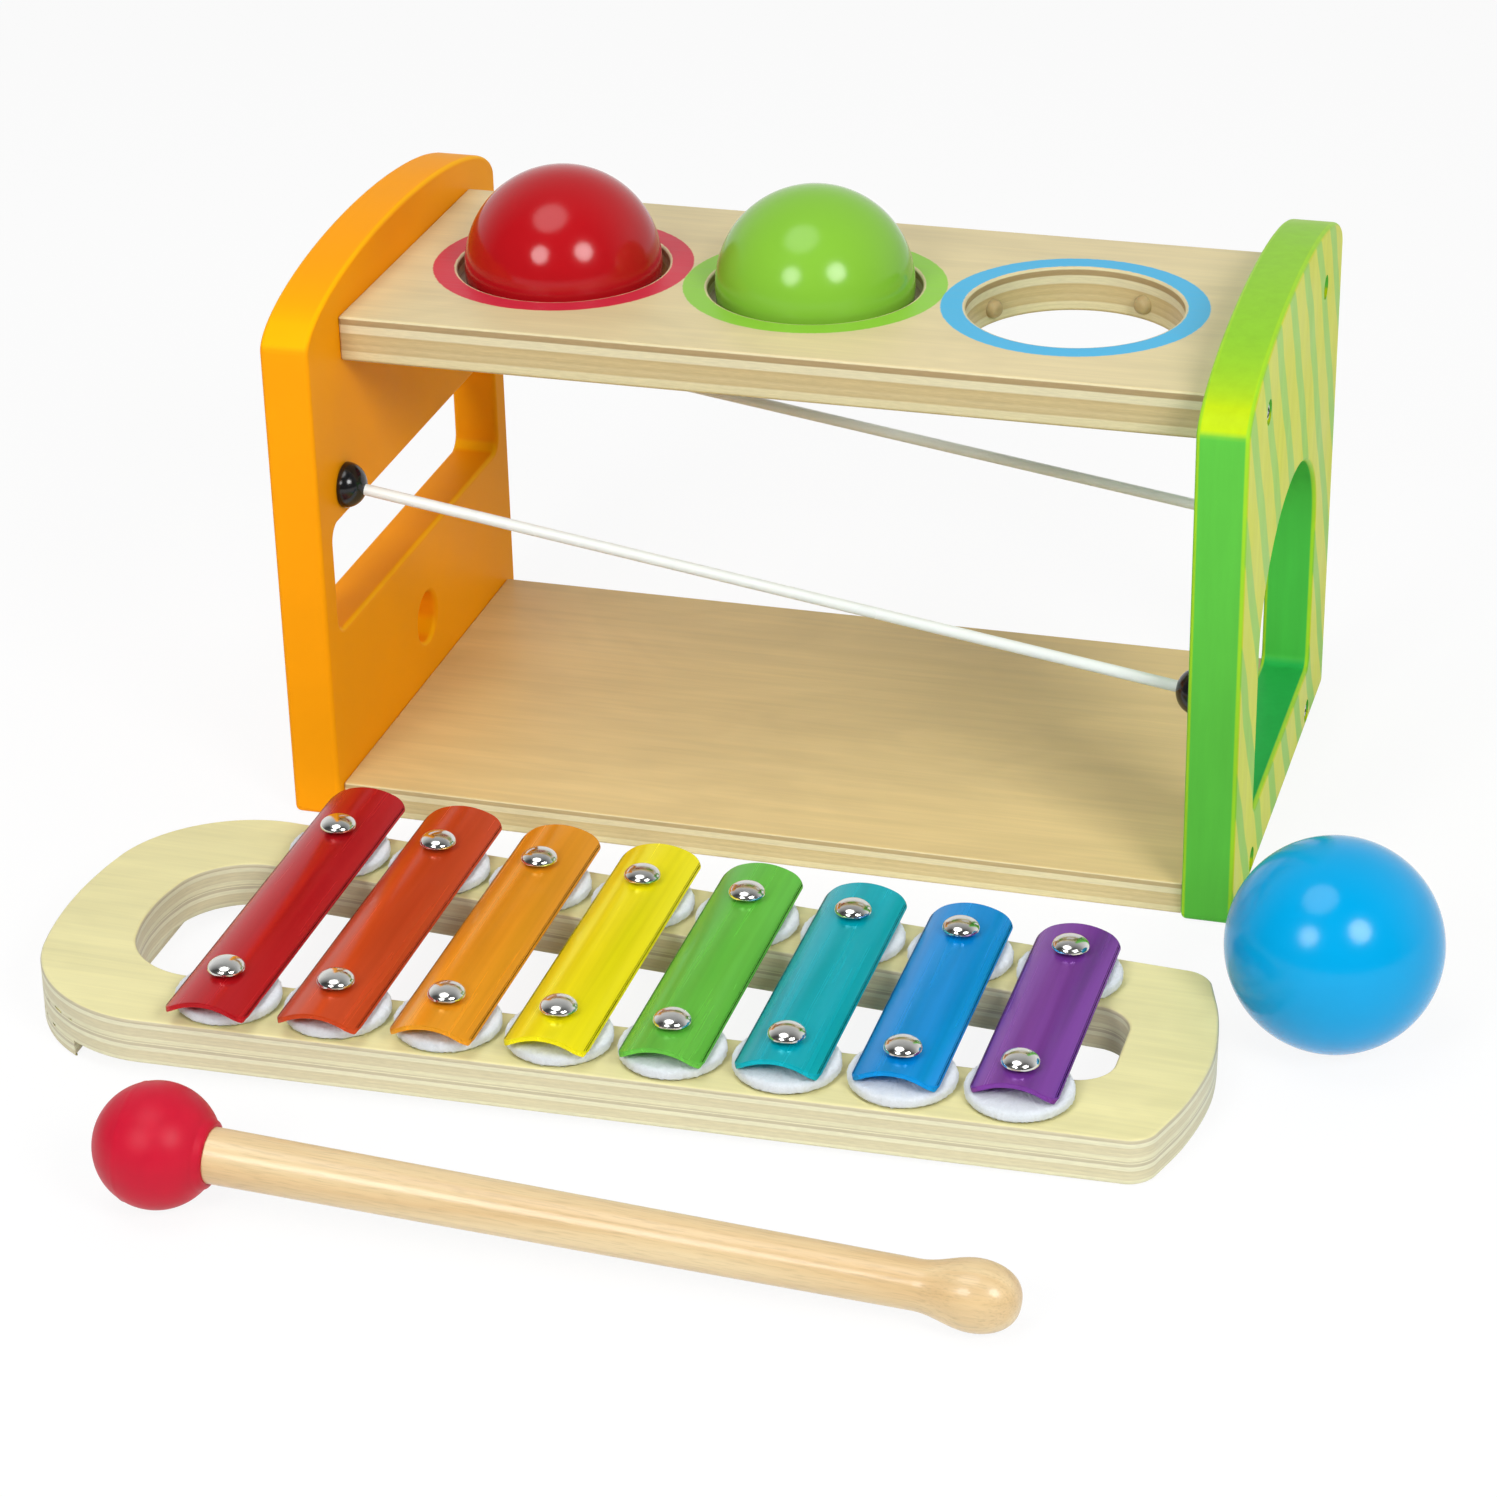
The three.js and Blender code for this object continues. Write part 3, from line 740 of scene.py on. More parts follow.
def plywood(name, bottom, thick, face, side, edge_strength=1.0, place=None, rings=()):
    """Birch plywood: grain on the faces, layers on the cut edges, painted rings if asked."""
    material, tree, shader, spots = new_finish(
        name, Coat_Weight=0.12, Coat_Roughness=0.25, Specular_IOR_Level=0.4
    )
    if place is not None:
        back = place.inverted()
        spots = stretch(tree, spots, (1, 1, 1), back.translation, back.to_euler())
    _, _, z = add(tree, "ShaderNodeSeparateXYZ", {0: spots}).outputs
    way = face_way(tree)
    flat = ramp(tree, calc(tree, "ABSOLUTE", way["Z"]), 0.55, 0.8)
    grain = use(tree, GRAIN, {"Vector": spots})
    veneer = shade(tree, face, ramp(tree, grain["Streaks"], 0.25, 0.75, 0.93, 1.05))
    veneer = shade(tree, veneer, ramp(tree, grain["Figure"], 0.3, 0.7, 0.95, 1.04))
    clouds = noise(tree, stretch(tree, spots, (14, 34, 34)), 1, 2, 0.5, 2.5)
    veneer = shade(tree, veneer, ramp(tree, clouds, 0.35, 0.65, 0.96, 1.03))
    # the layers repeat by height, and the top stays just inside the last one
    height = calc(tree, "SUBTRACT", z, bottom)
    share = calc(tree, "FRACT", calc(tree, "DIVIDE", height, 1.001 * thick))
    edge = use(
        tree, PLY, {"Height": share, "Vector": spots, "Strength": edge_strength, "Plain": side}
    )
    colour = blend(tree, flat, edge["Colour"], veneer)
    ragged = noise(tree, spots, 900, 2, 0.5)
    ragged = calc(tree, "MULTIPLY", calc(tree, "SUBTRACT", ragged, 0.5), 0.0004)
    up = ramp(tree, way["Z"], 0.8, 0.95)
    ring_inner = HOLE_RADIUS + RING_BARE_LINE
    for centre, paint in rings:
        ends = {0: spots, 1: (centre, 0, DECK_TOP)}
        away = add(tree, "ShaderNodeVectorMath", ends, operation="DISTANCE").outputs["Value"]
        radius = calc(tree, "ADD", away, ragged)
        inner = ramp(tree, radius, ring_inner, ring_inner + RING_FADE)
        outer = ramp(tree, radius, RING_RADIUS, RING_RADIUS + RING_FADE, 1.0, 0.0)
        ring = calc(tree, "MULTIPLY", calc(tree, "MULTIPLY", inner, outer), up)
        ink = shade(tree, paint, ramp(tree, grain["Streaks"], 0.25, 0.75, 0.96, 1.03))
        colour = blend(tree, ring, colour, ink)
    relief = blend(tree, flat, edge["Bump"], grain["Streaks"])
    wire(
        tree,
        shader,
        Base_Color=colour,
        Roughness=ramp(tree, grain["Streaks"], 0.2, 0.8, 0.42, 0.58),
        Normal=bumped(tree, relief, 0.18),
    )
    return material


def enamel(name, colour):
    """Translucent enamel over rolled steel, with faint streaks along the bar."""
    material, tree, shader, spots = new_finish(
        name, Metallic=0.35, Coat_Weight=0.07, Coat_Roughness=0.05, Specular_IOR_Level=0.15
    )
    streaks = noise(tree, stretch(tree, spots, (420, 9, 420)), 1, 4, 0.55, 0.3)
    broad = noise(tree, stretch(tree, spots, (90, 14, 90)), 1, 2, 0.5)
    tint = shade(tree, colour, ramp(tree, streaks, 0.25, 0.75, 0.88, 1.1))
    tint = shade(tree, tint, ramp(tree, broad, 0.3, 0.7, 0.94, 1.06))
    wire(
        tree,
        shader,
        Base_Color=tint,
        Roughness=ramp(tree, streaks, 0.25, 0.75, 0.2, 0.3),
        Normal=bumped(tree, streaks, 0.05),
    )
    return material


def bright_metal(name, colour, low, high, scale):
    """Plated steel with a faint change of polish."""
    material, tree, shader, spots = new_finish(name, Metallic=1.0)
    smear = noise(tree, spots, scale, 3, 0.5)
    wire(
        tree,
        shader,
        Base_Color=shade(tree, colour, ramp(tree, smear, 0.3, 0.7, 0.94, 1.04)),
        Roughness=ramp(tree, smear, 0.3, 0.7, low, high),
    )
    return material


def felt_finish(name):
    """White felt: matted fibres that catch the light at the rim."""
    material, tree, shader, spots = new_finish(
        name, Sheen_Weight=0.5, Sheen_Roughness=0.6, Specular_IOR_Level=0.1
    )
    clumps = noise(tree, spots, 650, 5, 0.7, 1.5)
    fibres = noise(tree, stretch(tree, spots, (2600, 1400, 2600)), 1, 4, 0.7, 2.0)
    mat = calc(tree, "ADD", calc(tree, "MULTIPLY", clumps, 0.6), calc(tree, "MULTIPLY", fibres, 0.4))
    wire(
        tree,
        shader,
        Base_Color=shade(tree, tone(226, 233, 239), ramp(tree, mat, 0.3, 0.7, 0.86, 1.06)),
        Roughness=ramp(tree, clumps, 0.3, 0.7, 0.85, 1.0),
        Normal=bumped(tree, mat, 0.7, 0.0006),
    )
    return material


def soft_finish(name, colour, roughness, through, scale):
    """Rubber or soft plastic that lets a little light in."""
    material, tree, shader, spots = new_finish(
        name,
        Subsurface_Weight=through,
        Subsurface_Radius=(0.004, 0.002, 0.001),
        Subsurface_Scale=1.0,
        Specular_IOR_Level=0.2,
    )
    bloom = noise(tree, spots, scale, 4, 0.6)
    wire(
        tree,
        shader,
        Base_Color=shade(tree, colour, ramp(tree, bloom, 0.3, 0.7, 0.93, 1.05)),
        Roughness=ramp(tree, bloom, 0.3, 0.7, roughness - 0.06, roughness + 0.08),
        Normal=bumped(tree, noise(tree, spots, 1600, 2, 0.5), 0.04),
    )
    return material


def maple_finish(name, place):
    """Clear-coated light wood, with the grain along the stick."""
    material, tree, shader, spots = new_finish(
        name, Coat_Weight=0.35, Coat_Roughness=0.15, Specular_IOR_Level=0.45
    )
    back = (place @ placed(0, 0, 0, (0, -QUARTER, 0))).inverted()
    spots = stretch(tree, spots, (1, 1, 1), back.translation, back.to_euler())
    grain = use(tree, GRAIN, {"Vector": spots})
    bands = noise(tree, stretch(tree, spots, (9, 130, 130)), 1, 3, 0.5, 0.6)
    pores = noise(tree, stretch(tree, spots, (160, 2400, 2400)), 1, 2, 0.5)
    wood = blend(tree, ramp(tree, bands, 0.35, 0.7), tone(226, 203, 158), tone(208, 176, 126))
    wood = shade(tree, wood, ramp(tree, grain["Streaks"], 0.25, 0.75, 0.9, 1.06))
    wood = shade(tree, wood, ramp(tree, pores, 0.3, 0.5, 0.86, 1.0))
    wire(
        tree,
        shader,
        Base_Color=wood,
        Roughness=ramp(tree, grain["Streaks"], 0.2, 0.8, 0.34, 0.5),
        Normal=bumped(tree, calc(tree, "ADD", pores, grain["Streaks"]), 0.15),
    )
    return material


RING_PAINTS = (
    (-HOLE_SPACING, tone(206, 38, 62)),
    (0.0, tone(142, 202, 56)),
    (HOLE_SPACING, tone(62, 178, 224)),
)
# the orange panel's yellower band where its top rounds over is a painted highlight
ORANGE = painted("orange_panel_paint", tone(250, 160, 12), 0.45, 0.12, 0.03, highlight_tone=tone(255, 180, 8))
GREEN = striped_green("green_panel_paint")
DECK = plywood(
    "deck_plywood",
    DECK_TOP - DECK_THICK,
    DECK_THICK,
    tone(221, 204, 156),
    tone(130, 122, 88),
    0.85,
    rings=RING_PAINTS,
)
BASE = plywood("base_plywood", 0, BASE_THICK, tone(220, 194, 134), tone(220, 204, 150), 0.7)
FRAME = plywood(
    "xylophone_plywood", 0, XYLO_THICK / 2, tone(223, 216, 160), tone(216, 222, 198), 0.55, XYLO_PLACE
)
BALL_PAINTS = {
    "red_ball": painted("red_ball_paint", tone(177, 18, 26), 0.16, 0.08, 0.3, 0.03),
    "green_ball": painted("green_ball_paint", tone(130, 188, 57), 0.16, 0.08, 0.3, 0.03),
    "blue_ball": painted("blue_ball_paint", tone(0, 156, 214), 0.16, 0.08, 0.24, 0.03),
}
WHITE_ROD = painted("white_rod_paint", tone(228, 232, 229), 0.3, 0.06, 0.4)
BLACK_CAP = painted("black_cap_plastic", tone(22, 22, 24), 0.2, 0.3, 0.5)
CHROME = bright_metal("pin_chrome", tone(226, 226, 222), 0.12, 0.19, 300)
SCREW_STEEL = bright_metal("screw_steel", tone(196, 198, 202), 0.2, 0.32, 500)
NUB_SOFT = soft_finish("grip_nub_rubber", tone(172, 154, 110), 0.45, 0.3, 900)
MALLET_RUBBER = soft_finish("mallet_rubber", tone(192, 16, 46), 0.42, 0.1, 120)
FELT = felt_finish("white_felt")
MAPLE = maple_finish("stick_wood", MALLET_MATRIX)
BAR_PAINTS = [
    ("red", (184, 22, 30)),
    ("vermilion", (204, 72, 28)),
    ("orange", (236, 156, 30)),
    ("yellow", (248, 236, 14)),
    ("green", (104, 194, 70)),
    ("teal", (0, 174, 190)),
    ("blue", (0, 146, 224)),
    ("purple", (127, 62, 160)),
]


def finished(obj, material, body, slot, *nodes):
    """Gives a piece its finish, puts it on its body and hides the solids that it stands for."""
    obj.data.materials.clear()
    obj.data.materials.append(material)
    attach(obj, body)
    if nodes:
        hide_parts(*nodes)


# End panels


def screw_spots(x):
    heights = {"upper": DECK_TOP - DECK_THICK / 2, "lower": BASE_THICK / 2}
    for level, height in heights.items():
        for row, side in (("front", -1), ("rear", 1)):
            yield level, row, (x, side * SCREW_OFFSET, height)


def end_panel(name, side, openings):
    """A panel with eased openings and sharp screw recesses."""
    low, high = sorted((side * INNER_LENGTH / 2, side * (INNER_LENGTH / 2 + PANEL_THICK)))
    size = (PANEL_DEPTH / 2, 0, PANEL_SPRING, PANEL_RISE, PANEL_CORNER)
    obj = archway(name, low, high, *size)
    for opening in openings:
        carve(obj, opening)
    ease_half(obj, PANEL_EASE, 4)
    for _, _, spot in screw_spots(side * (INNER_LENGTH / 2 + PANEL_THICK)):
        turn = (0, QUARTER, 0)
        carve(obj, round_bar("recess", SCREW_RECESS_RADIUS, spot, 2 * SCREW_RECESS, turn, 48))
    polish(obj)
    return obj


def make_panels():
    """The slotted orange panel, and the green panel with its doorway."""
    reach = INNER_LENGTH / 2 + PANEL_THICK / 2
    slot = block(
        "slot",
        (-reach - PANEL_THICK, -SLOT_WIDTH / 2, SLOT_FLOOR),
        (-reach + PANEL_THICK, SLOT_WIDTH / 2, SLOT_TOP),
        SLOT_CORNER,
    )
    spot = (-reach, 0, STICK_HOLE_HEIGHT)
    stick_hole = round_bar("stick_hole", STICK_HOLE, spot, 2 * PANEL_THICK, (0, QUARTER, 0))
    left = end_panel("orange_end_panel", -1, [slot, stick_hole])
    finished(left, ORANGE, "bench", "orange_painted_wood", "left_end_panel")
    doorway = archway(
        "doorway",
        reach - PANEL_THICK,
        reach + PANEL_THICK,
        DOOR_HALF,
        DOOR_SILL,
        DOOR_SPRING,
        DOOR_RISE,
        DOOR_CORNER,
    )
    right = end_panel("green_end_panel", 1, [doorway])
    finished(right, GREEN, "bench", "green_painted_wood", "right_end_panel")


# Boards, nubs, rods and screws


def board(name, depth, shift, low, high):
    half = INNER_LENGTH / 2
    return block(
        name, (-half, shift - depth / 2, low), (half, shift + depth / 2, high), BOARD_CORNER, 2, 3
    )


def make_boards():
    """The deck with its three ball holes, and the base board."""
    deck = board("deck_board", DECK_DEPTH, 0, DECK_TOP - DECK_THICK, DECK_TOP)
    for x in (-HOLE_SPACING, 0, HOLE_SPACING):
        carve(deck, round_bar("ball_hole", HOLE_RADIUS, (x, 0, DECK_TOP), 4 * DECK_THICK, sides=160))
    ease_half(deck, BOARD_EASE, 3)
    ground = board("base_board_piece", BASE_DEPTH, BASE_SHIFT, 0, BASE_THICK)
    ease(ground, BOARD_EASE, 3)
    for obj, finish, node in ((deck, DECK, "top_board"), (ground, BASE, "base_board")):
        polish(obj)
        finished(obj, finish, "bench", "birch_plywood", node)


def make_nubs():
    """Three soft nubs in the wall of each hole, which hold a ball from below."""
    reach = math.sqrt((BALL_RADIUS + NUB_RADIUS + NUB_GAP) ** 2 - NUB_DROP**2)
    stem = HOLE_RADIUS + NUB_SEAT - reach
    tip = dome(NUB_RADIUS, NUB_RADIUS, 0, 8, NUB_FULLNESS)
    model = turned("nub_model", [(NUB_RADIUS, -stem), (NUB_RADIUS, 0), *tip], 40)
    polish(model)
    for hole, x in (("left", -HOLE_SPACING), ("middle", 0), ("right", HOLE_SPACING)):
        for place, angle in NUB_ANGLES.items():
            around = math.radians(angle)
            spot = (x + reach * math.cos(around), reach * math.sin(around), DECK_TOP - NUB_DROP)
            node = f"{hole}_hole_{place}_nub"
            nub = copy_of(model, f"grip_{node}", placed(*spot, (0, QUARTER, around + math.pi)))
            finished(nub, NUB_SOFT, "bench", "soft_nub", node)
    put_away(model)


def make_rods():
    """Two guard rods that slope down to the right, with a domed cap at each end."""
    slope = math.atan2(ROD_LEFT - ROD_RIGHT, INNER_LENGTH)
    reach = (INNER_LENGTH / 2 + ROD_SEAT) / math.cos(slope)
    rod = turned(
        "rod_model",
        [
            (ROD_RADIUS - ROD_TIP, -reach),
            (ROD_RADIUS, ROD_TIP - reach),
            (ROD_RADIUS, reach - ROD_TIP),
            (ROD_RADIUS - ROD_TIP, reach),
        ],
        32,
    )
    cap = turned(
        "cap_model",
        [
            (CAP_RADIUS - CAP_RIM, 0),
            (CAP_RADIUS, CAP_RIM),
            *dome(CAP_RADIUS, CAP_RADIUS - CAP_RIM, CAP_RIM, 12),
        ],
        56,
    )
    polish(rod)
    polish(cap)
    for row, side in (("front", -1), ("rear", 1)):
        y = side * ROD_OFFSET
        lay = placed(0, y, (ROD_LEFT + ROD_RIGHT) / 2, (0, QUARTER + slope, 0))
        made = copy_of(rod, f"{row}_rod", lay)
        finished(made, WHITE_ROD, "bench", "white_painted_metal", f"{row}_guard_rod")
        for end, way, height in (("left", -1, ROD_LEFT), ("right", 1, ROD_RIGHT)):
            lay = placed(way * INNER_LENGTH / 2, y, height, (0, -way * QUARTER, 0))
            made = copy_of(cap, f"{row}_{end}_cap", lay)
            finished(made, BLACK_CAP, "bench", "black_plastic", f"{row}_{end}_rod_cap")
    put_away(rod)
    put_away(cap)


def make_screws():
    """Eight screws with a cross cut into a low domed head."""
    points = [
        (SCREW_POINT, -SCREW_LENGTH),
        (SCREW_SHANK, SCREW_TAPER - SCREW_LENGTH),
        (SCREW_SHANK, -SCREW_EDGE / 2),
        (SCREW_HEAD - SCREW_EDGE, 0),
        (SCREW_HEAD, SCREW_EDGE),
        (SCREW_HEAD, SCREW_DOME),
        *dome(SCREW_HEAD, SCREW_DOME, SCREW_DOME, 6),
    ]
    model = turned("screw_model", points, 48)
    cross = (SCREW_CROSS_LONG, SCREW_CROSS_WIDE)
    for wide, deep in (cross, reversed(cross)):
        carve(model, block("cross", (-wide, -deep, SCREW_DOME), (wide, deep, 4 * SCREW_DOME)))
    polish(model, 30)
    for end, side in (("left", -1), ("right", 1)):
        seat_x = side * (INNER_LENGTH / 2 + PANEL_THICK - SCREW_RECESS)
        for turn, (level, row, spot) in enumerate(screw_spots(seat_x)):
            node = f"{end}_{level}_{row}_screw"
            proud = SCREW_PROUD if node in PROUD_SCREWS else 0
            spin = placed(*spot, (0, side * QUARTER, 0)) @ placed(0, 0, proud, (0, 0, 0.5 + 0.7 * turn))
            made = copy_of(model, f"{node}_piece", spin)
            finished(made, SCREW_STEEL, "bench", "screw_steel", node)
    put_away(model)


# Balls


def make_balls():
    """Three painted balls, each with a small flat at one pole."""
    model = begin(
        "ball_model",
        bpy.ops.mesh.primitive_uv_sphere_add,
        segments=96,
        ring_count=64,
        radius=BALL_RADIUS,
    )
    open_up(model)
    pick(model, "VERT", lambda v: v.co.z < -BALL_RADIUS * math.cos(BALL_FLAT_ANGLE))
    bpy.ops.transform.translate(value=(0, 0, BALL_FLAT_DEPTH))
    close_up()
    polish(model, 60)
    slots = {
        "red_ball": "red_painted_wood",
        "green_ball": "lime_painted_wood",
        "blue_ball": "blue_painted_wood",
    }
    for node, slot in slots.items():
        low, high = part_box(node)
        spot = (low + high) / 2
        ball = copy_of(model, f"painted_{node}", placed(*spot, BALL_TURN))
        finished(ball, BALL_PAINTS[node], node, slot, node)
    put_away(model)


# Xylophone


def left_end(x, half, bow, slope):
    """The corners of a left end with a bowed middle, for sides that close in by a slope."""
    middle = half * LEFT_BOW_SHARE
    edge = math.hypot(bow, half - middle)
    turn = math.atan2(bow, half - middle)
    corner = (edge - middle - LEFT_FLAT / 2) / math.tan((QUARTER - turn + slope) / 2)
    middle_radius = (middle - LEFT_FLAT / 2) / math.tan(turn / 2)
    upper = [(x + bow, half, corner), (x, middle, middle_radius)]
    return upper + [(across, -y, radius) for across, y, radius in reversed(upper)]


def make_xylophone_frame():
    """A plywood frame with bowed ends, a long window and a lip under its left end."""
    slope = math.atan2(XYLO_HALF_LEFT - XYLO_HALF_RIGHT, XYLO_LENGTH - XYLO_BOW - XYLO_LEFT_BOW)
    outline = [
        *left_end(0, XYLO_HALF_LEFT, XYLO_LEFT_BOW, slope),
        (XYLO_LENGTH - XYLO_BOW, -XYLO_HALF_RIGHT, XYLO_RIGHT_CORNER),
        (XYLO_LENGTH, -XYLO_BOW_HALF, 0),
        (XYLO_LENGTH, XYLO_BOW_HALF, 0),
        (XYLO_LENGTH - XYLO_BOW, XYLO_HALF_RIGHT, XYLO_RIGHT_CORNER),
    ]
    # the right end's two middle corners get the radius that nearly joins them in one bow
    bow = XYLO_BOW_HALF * 0.98 / math.tan(corner_turn(outline, 5) / 2)
    outline = [(x, y, radius or bow) for x, y, radius in outline]
    obj = plate("xylophone_frame_piece", outline, 0, XYLO_THICK)
    lip = plate("lip", outline, -XYLO_LIP_DROP, 0.5 * XYLO_THICK)
    open_up(lip)
    bpy.ops.mesh.select_all(action="SELECT")
    bpy.ops.mesh.bisect(
        plane_co=(XYLO_LIP_LENGTH, 0, 0), plane_no=(1, 0, 0), use_fill=True, clear_outer=True
    )
    close_up()
    carve(obj, lip, "UNION")
    run = WINDOW_END - WINDOW_START - WINDOW_LEFT_BOW
    slope = math.atan2(WINDOW_HALF_LEFT - WINDOW_HALF_RIGHT, run)
    window = [
        *left_end(WINDOW_START, WINDOW_HALF_LEFT, WINDOW_LEFT_BOW, slope),
        (WINDOW_END, -WINDOW_HALF_RIGHT, WINDOW_RIGHT_CORNER),
        (WINDOW_END, WINDOW_HALF_RIGHT, WINDOW_RIGHT_CORNER),
    ]
    carve(obj, plate("window", window, -XYLO_THICK, 2 * XYLO_THICK))
    ease_half(obj, XYLO_EASE, 3)
    polish(obj)
    seat(obj, XYLO_PLACE)
    finished(obj, FRAME, "xylophone", "birch_plywood", "xylophone_frame")


def make_bar(name, length):
    """An arched steel sheet with its lowest edges at height 0."""
    middle = BAR_CROWN - BAR_RADIUS
    obj = begin(
        name,
        bpy.ops.mesh.primitive_cylinder_add,
        vertices=240,
        radius=BAR_RADIUS,
        depth=length,
        end_fill_type="NOTHING",
        location=(0, 0, middle),
        rotation=(QUARTER, 0, 0),
    )
    open_up(obj)
    bpy.ops.mesh.select_all(action="SELECT")
    edge = middle + BAR_RADIUS * math.cos(BAR_SPREAD)
    bpy.ops.mesh.bisect(plane_co=(0, 0, edge), plane_no=(0, 0, 1), clear_inner=True)
    close_up()
    apply_modifier(obj, "SOLIDIFY", thickness=BAR_SHEET, offset=-1, use_even_offset=True)
    plan = block(
        "plan",
        (-BAR_WIDTH / 2 - TOUCHING, -length / 2 + TOUCHING, -BAR_RADIUS),
        (BAR_WIDTH / 2 + TOUCHING, length / 2 - TOUCHING, BAR_RADIUS),
        BAR_CORNER,
        2,
    )
    carve(obj, plan, "INTERSECT")
    ease(obj, BAR_EASE, 2, 45)
    polish(obj, 35)
    return obj


def make_bars():
    """Eight bars that get shorter to the right, each on two felts and under two pins."""
    pin = turned(
        "pin_model",
        [
            (PIN_SHANK, PIN_FOOT),
            (PIN_SHANK, PIN_NECK),
            (PIN_HEAD - PIN_RIM, PIN_NECK + PIN_RIM / 6),
            (PIN_HEAD, PIN_NECK + PIN_RIM),
            *dome(PIN_HEAD, PIN_DOME, PIN_NECK + PIN_RIM, 12),
        ],
    )
    polish(pin)
    # a soft rim, then rings across the top for the fuzz to lift
    rings = [(FELT_RADIUS - 0.0006, FELT_BOTTOM), (FELT_RADIUS, FELT_BOTTOM + 0.0007)]
    rings += [(FELT_RADIUS, FELT_TOP - 0.0009), (FELT_RADIUS - 0.0004, FELT_TOP - 0.0002)]
    rings += [(FELT_RADIUS * share, FELT_TOP) for share in (0.9, 0.78, 0.64, 0.5, 0.36, 0.22, 0.1)]
    felt = turned("felt_model", rings, 220)
    fuzz = bpy.data.textures.new("felt_fuzz", "CLOUDS")
    fuzz.noise_scale = FELT_FUZZ_SIZE
    apply_modifier(
        felt,
        "DISPLACE",
        texture=fuzz,
        strength=FELT_FUZZ_DEPTH,
        mid_level=0.6,
        texture_coords="LOCAL",
    )
    polish(felt, 80)
    count = len(BAR_PAINTS)
    for i, (paint, colour) in enumerate(BAR_PAINTS):
        share = i / (count - 1)
        span = PIN_SPAN_LEFT + share * (PIN_SPAN_RIGHT - PIN_SPAN_LEFT)
        x = BAR_START + i * BAR_PITCH
        bar = make_bar(f"tone_bar_{i + 1}", BAR_LONGEST + share * (BAR_SHORTEST - BAR_LONGEST))
        shift = BAR_SHIFT_LEFT + share * (BAR_SHIFT_RIGHT - BAR_SHIFT_LEFT)
        seat(bar, XYLO_PLACE @ placed(x, shift, BAR_BOTTOM))
        coat = enamel(f"{paint}_bar_enamel", tone(*colour))
        finished(bar, coat, "xylophone", f"{paint}_enamel", f"bar_{i + 1}")
        for row, side in (("front", -1), ("rear", 1)):
            foot = XYLO_PLACE @ placed(x, side * span / 2, 0, (0, 0, 0.8 * i + side))
            made = copy_of(pin, f"{row}_pin_{i + 1}", foot)
            finished(made, CHROME, "xylophone", "chrome", f"bar_{i + 1}_{row}_pin")
            made = copy_of(felt, f"{row}_felt_{i + 1}", foot)
            finished(made, FELT, "xylophone", "white_felt", f"{row}_felt_row")
    put_away(pin)
    put_away(felt)


# Mallet


def make_mallet():
    """A rubber head with a faint seam and a collar, on a stick that ends in a knob."""
    head = begin(
        "mallet_head_piece",
        bpy.ops.mesh.primitive_uv_sphere_add,
        segments=96,
        ring_count=72,
        radius=MALLET_HEAD,
    )
    open_up(head)
    pick(head, "VERT", lambda v: abs(v.co.z - HEAD_SEAM) < HEAD_SEAM_REACH)
    swell = (HEAD_SEAM_SWELL, HEAD_SEAM_SWELL, 1)
    bpy.ops.transform.resize(value=swell, center_override=(0, 0, HEAD_SEAM))
    pick(
        head,
        "VERT",
        lambda v: v.co.z > 0 and HEAD_COLLAR_INNER < v.co.xy.length < HEAD_COLLAR_OUTER,
    )
    bpy.ops.transform.translate(value=(0, 0, HEAD_COLLAR_RISE))
    close_up()
    polish(head, 60)
    seat(head, MALLET_MATRIX)
    finished(head, MALLET_RUBBER, "mallet", "red_rubber", "mallet_head")
    neck = MALLET_SPAN - KNOB_RAMP
    flare = [
        (
            STICK_NECK + (KNOB_RADIUS - STICK_NECK) * math.sin(QUARTER * step / KNOB_STEPS) ** 2,
            neck + KNOB_RAMP * step / KNOB_STEPS,
        )
        for step in range(KNOB_STEPS + 1)
    ]
    stick = turned(
        "mallet_stick_piece",
        [
            (STICK_RADIUS - STICK_ROUND, -STICK_SEAT),
            (STICK_RADIUS, STICK_ROUND - STICK_SEAT),
            ((STICK_RADIUS + STICK_NECK) / 2, neck / 2),
            *flare,
            *dome(KNOB_RADIUS, KNOB_TAIL, MALLET_SPAN, 14, KNOB_FULLNESS),
        ],
        72,
    )
    polish(stick, 50)
    seat(stick, MALLET_MATRIX)
    finished(stick, MAPLE, "mallet", "maple", "mallet_stick")


# Studio


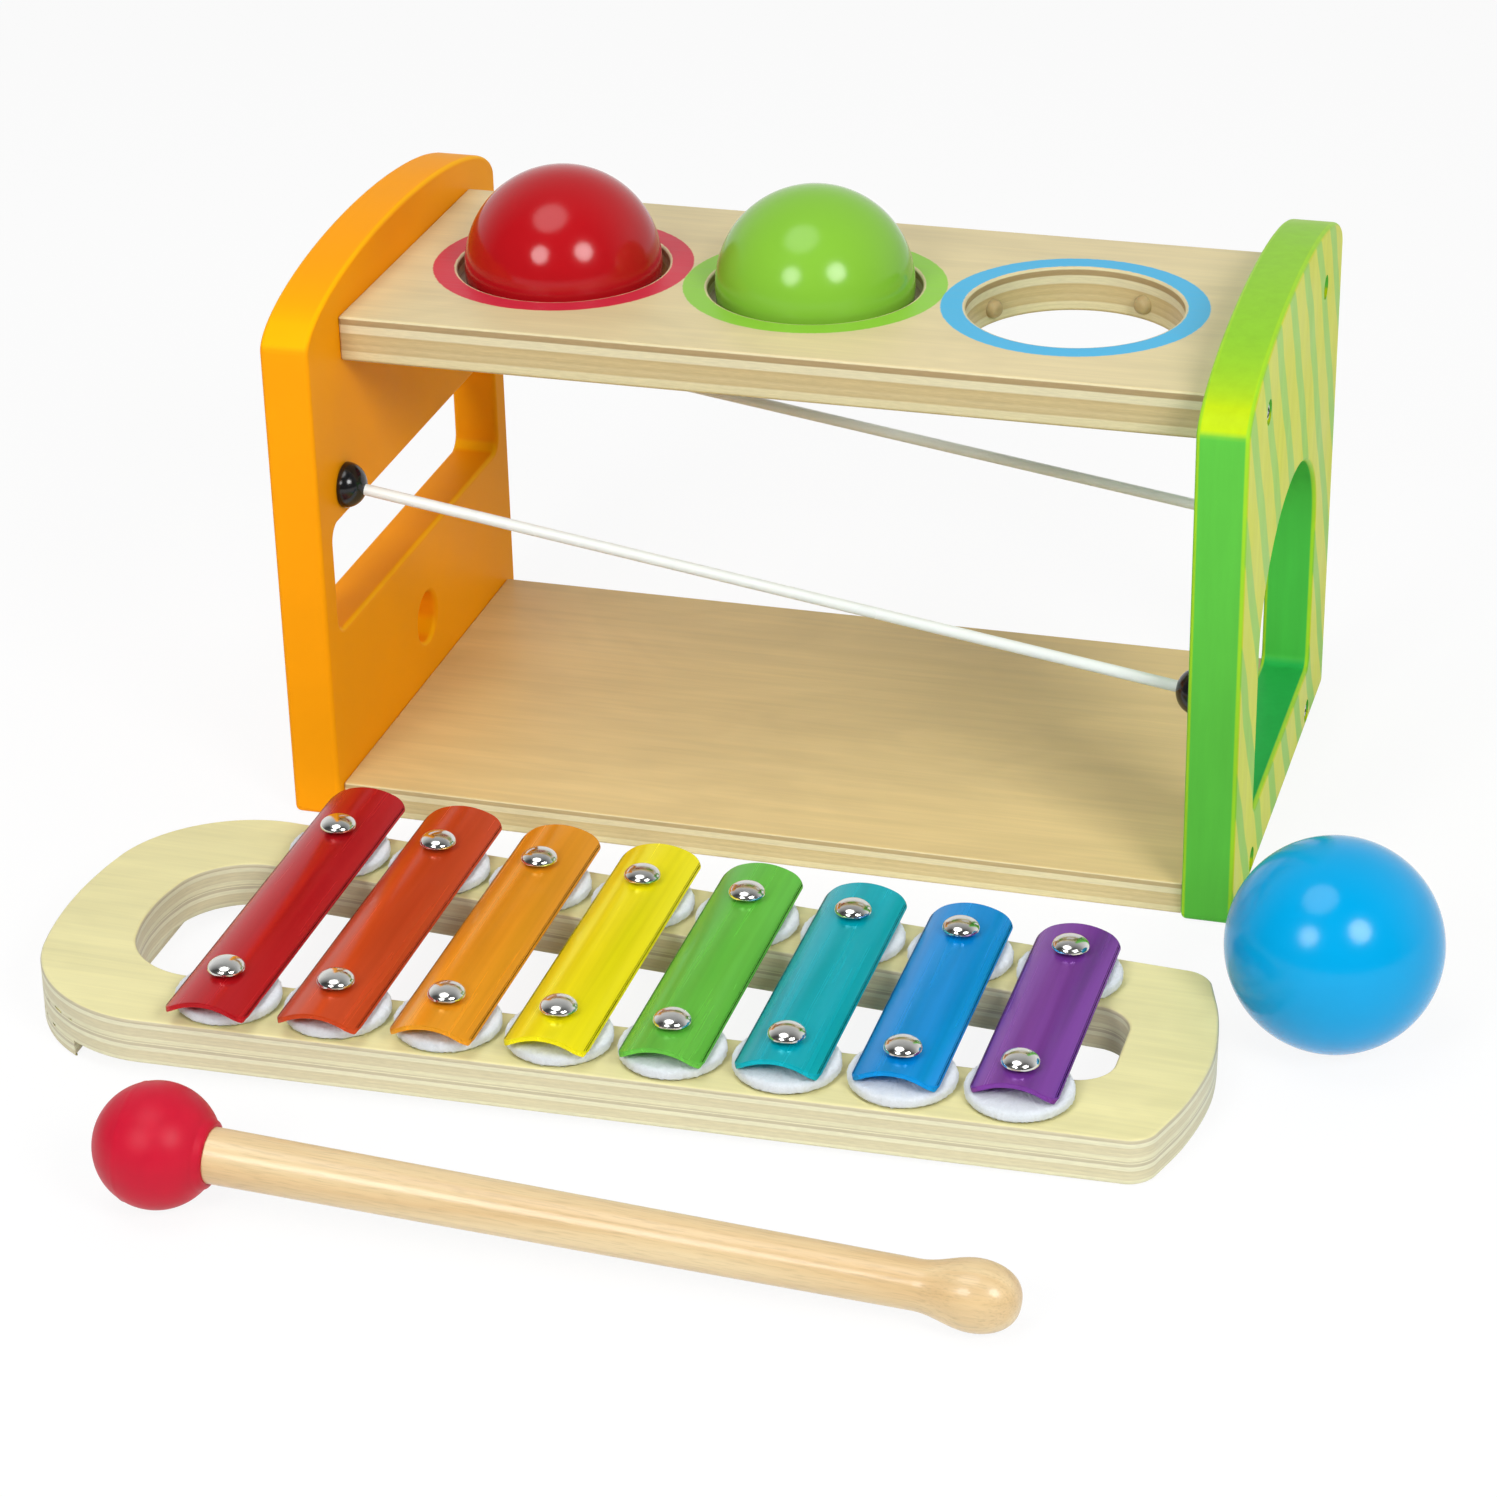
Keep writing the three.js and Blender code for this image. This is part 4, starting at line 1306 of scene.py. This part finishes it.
def make_studio():
    """A white floor that keeps shadows, a soft sky and three lamps."""
    floor = begin("studio_floor", bpy.ops.mesh.primitive_plane_add, size=FLOOR_SIZE, location=(0, 0, 0))
    material = bpy.data.materials.new("studio_white")
    material.use_nodes = True
    tree = material.node_tree
    tree.nodes.clear()
    rays = add(tree, "ShaderNodeLightPath").outputs
    seen = calc(tree, "MAXIMUM", rays["Is Camera Ray"], rays["Is Glossy Ray"])
    seen = calc(tree, "MAXIMUM", seen, rays["Is Transmission Ray"])
    matt = add(tree, "ShaderNodeBsdfDiffuse", {"Color": FLOOR_GREY})
    glow = add(tree, "ShaderNodeEmission", {"Color": (1, 1, 1, 1), "Strength": 1.0})
    share = calc(tree, "MULTIPLY", seen, FLOOR_GLOW)
    both = add(tree, "ShaderNodeMixShader", {0: share, 1: matt.outputs[0], 2: glow.outputs[0]})
    add(tree, "ShaderNodeOutputMaterial", {"Surface": both.outputs[0]})
    floor.data.materials.append(material)

    world = bpy.data.worlds.new("studio")
    bpy.context.scene.world = world
    world.use_nodes = True
    tree = world.node_tree
    tree.nodes.clear()
    way = add(tree, "ShaderNodeTexCoord").outputs["Generated"]
    spot = add(tree, "ShaderNodeSeparateXYZ", {0: way}).outputs
    rays = add(tree, "ShaderNodeLightPath").outputs
    behind = ramp(tree, spot["Y"], -0.25, 0.45, 0.07, 0.9)
    sky = calc(tree, "MULTIPLY", behind, ramp(tree, spot["Z"], 0.3, 0.9, 1.0, 0.5))
    # seen by the camera, the sky is as white as the far end of the floor
    strength = calc(tree, "MAXIMUM", sky, calc(tree, "MULTIPLY", rays["Is Camera Ray"], FAR_WHITE))
    light = add(tree, "ShaderNodeBackground", {"Color": (1, 1, 1, 1), "Strength": strength})
    add(tree, "ShaderNodeOutputWorld", {"Surface": light.outputs[0]})

    for name, place, size, power in LAMPS:
        bpy.ops.object.select_all(action="DESELECT")
        bpy.ops.object.light_add(type="AREA", location=place)
        lamp = bpy.context.object
        lamp.name = name
        lamp.data.shape = "DISK"
        lamp.data.size = size
        lamp.data.energy = power
        aim = Vector(LAMP_AIM) - Vector(place)
        lamp.rotation_euler = aim.to_track_quat("-Z", "Y").to_euler()


def make_camera():
    """The photograph's view: a long lens from the front right."""
    right = Vector((math.cos(CAMERA_AROUND), math.sin(CAMERA_AROUND), 0))
    level = math.cos(CAMERA_ABOVE)
    back = Vector(
        (
            math.sin(CAMERA_AROUND) * level,
            -math.cos(CAMERA_AROUND) * level,
            math.sin(CAMERA_ABOVE),
        )
    )
    up = back.cross(right)
    leant_right = math.cos(CAMERA_LEAN) * right + math.sin(CAMERA_LEAN) * up
    leant_up = math.cos(CAMERA_LEAN) * up - math.sin(CAMERA_LEAN) * right
    turn = Matrix((leant_right, leant_up, back)).transposed().to_4x4()
    bpy.ops.object.select_all(action="DESELECT")
    bpy.ops.object.camera_add()
    camera = bpy.context.object
    camera.name = "photo_camera"
    camera.matrix_world = Matrix.Translation(CAMERA_EYE) @ turn
    camera.data.sensor_width = CAMERA_SENSOR
    camera.data.lens = CAMERA_SENSOR * PICTURE_FOCAL / PICTURE_WIDTH
    camera.data.clip_start = 0.01
    camera.data.clip_end = 100
    bpy.context.scene.camera = camera


make_panels()
make_boards()
make_nubs()
make_rods()
make_screws()
make_balls()
make_xylophone_frame()
make_bars()
make_mallet()
make_studio()
make_camera()
bpy.context.scene.view_settings.view_transform = "Standard"
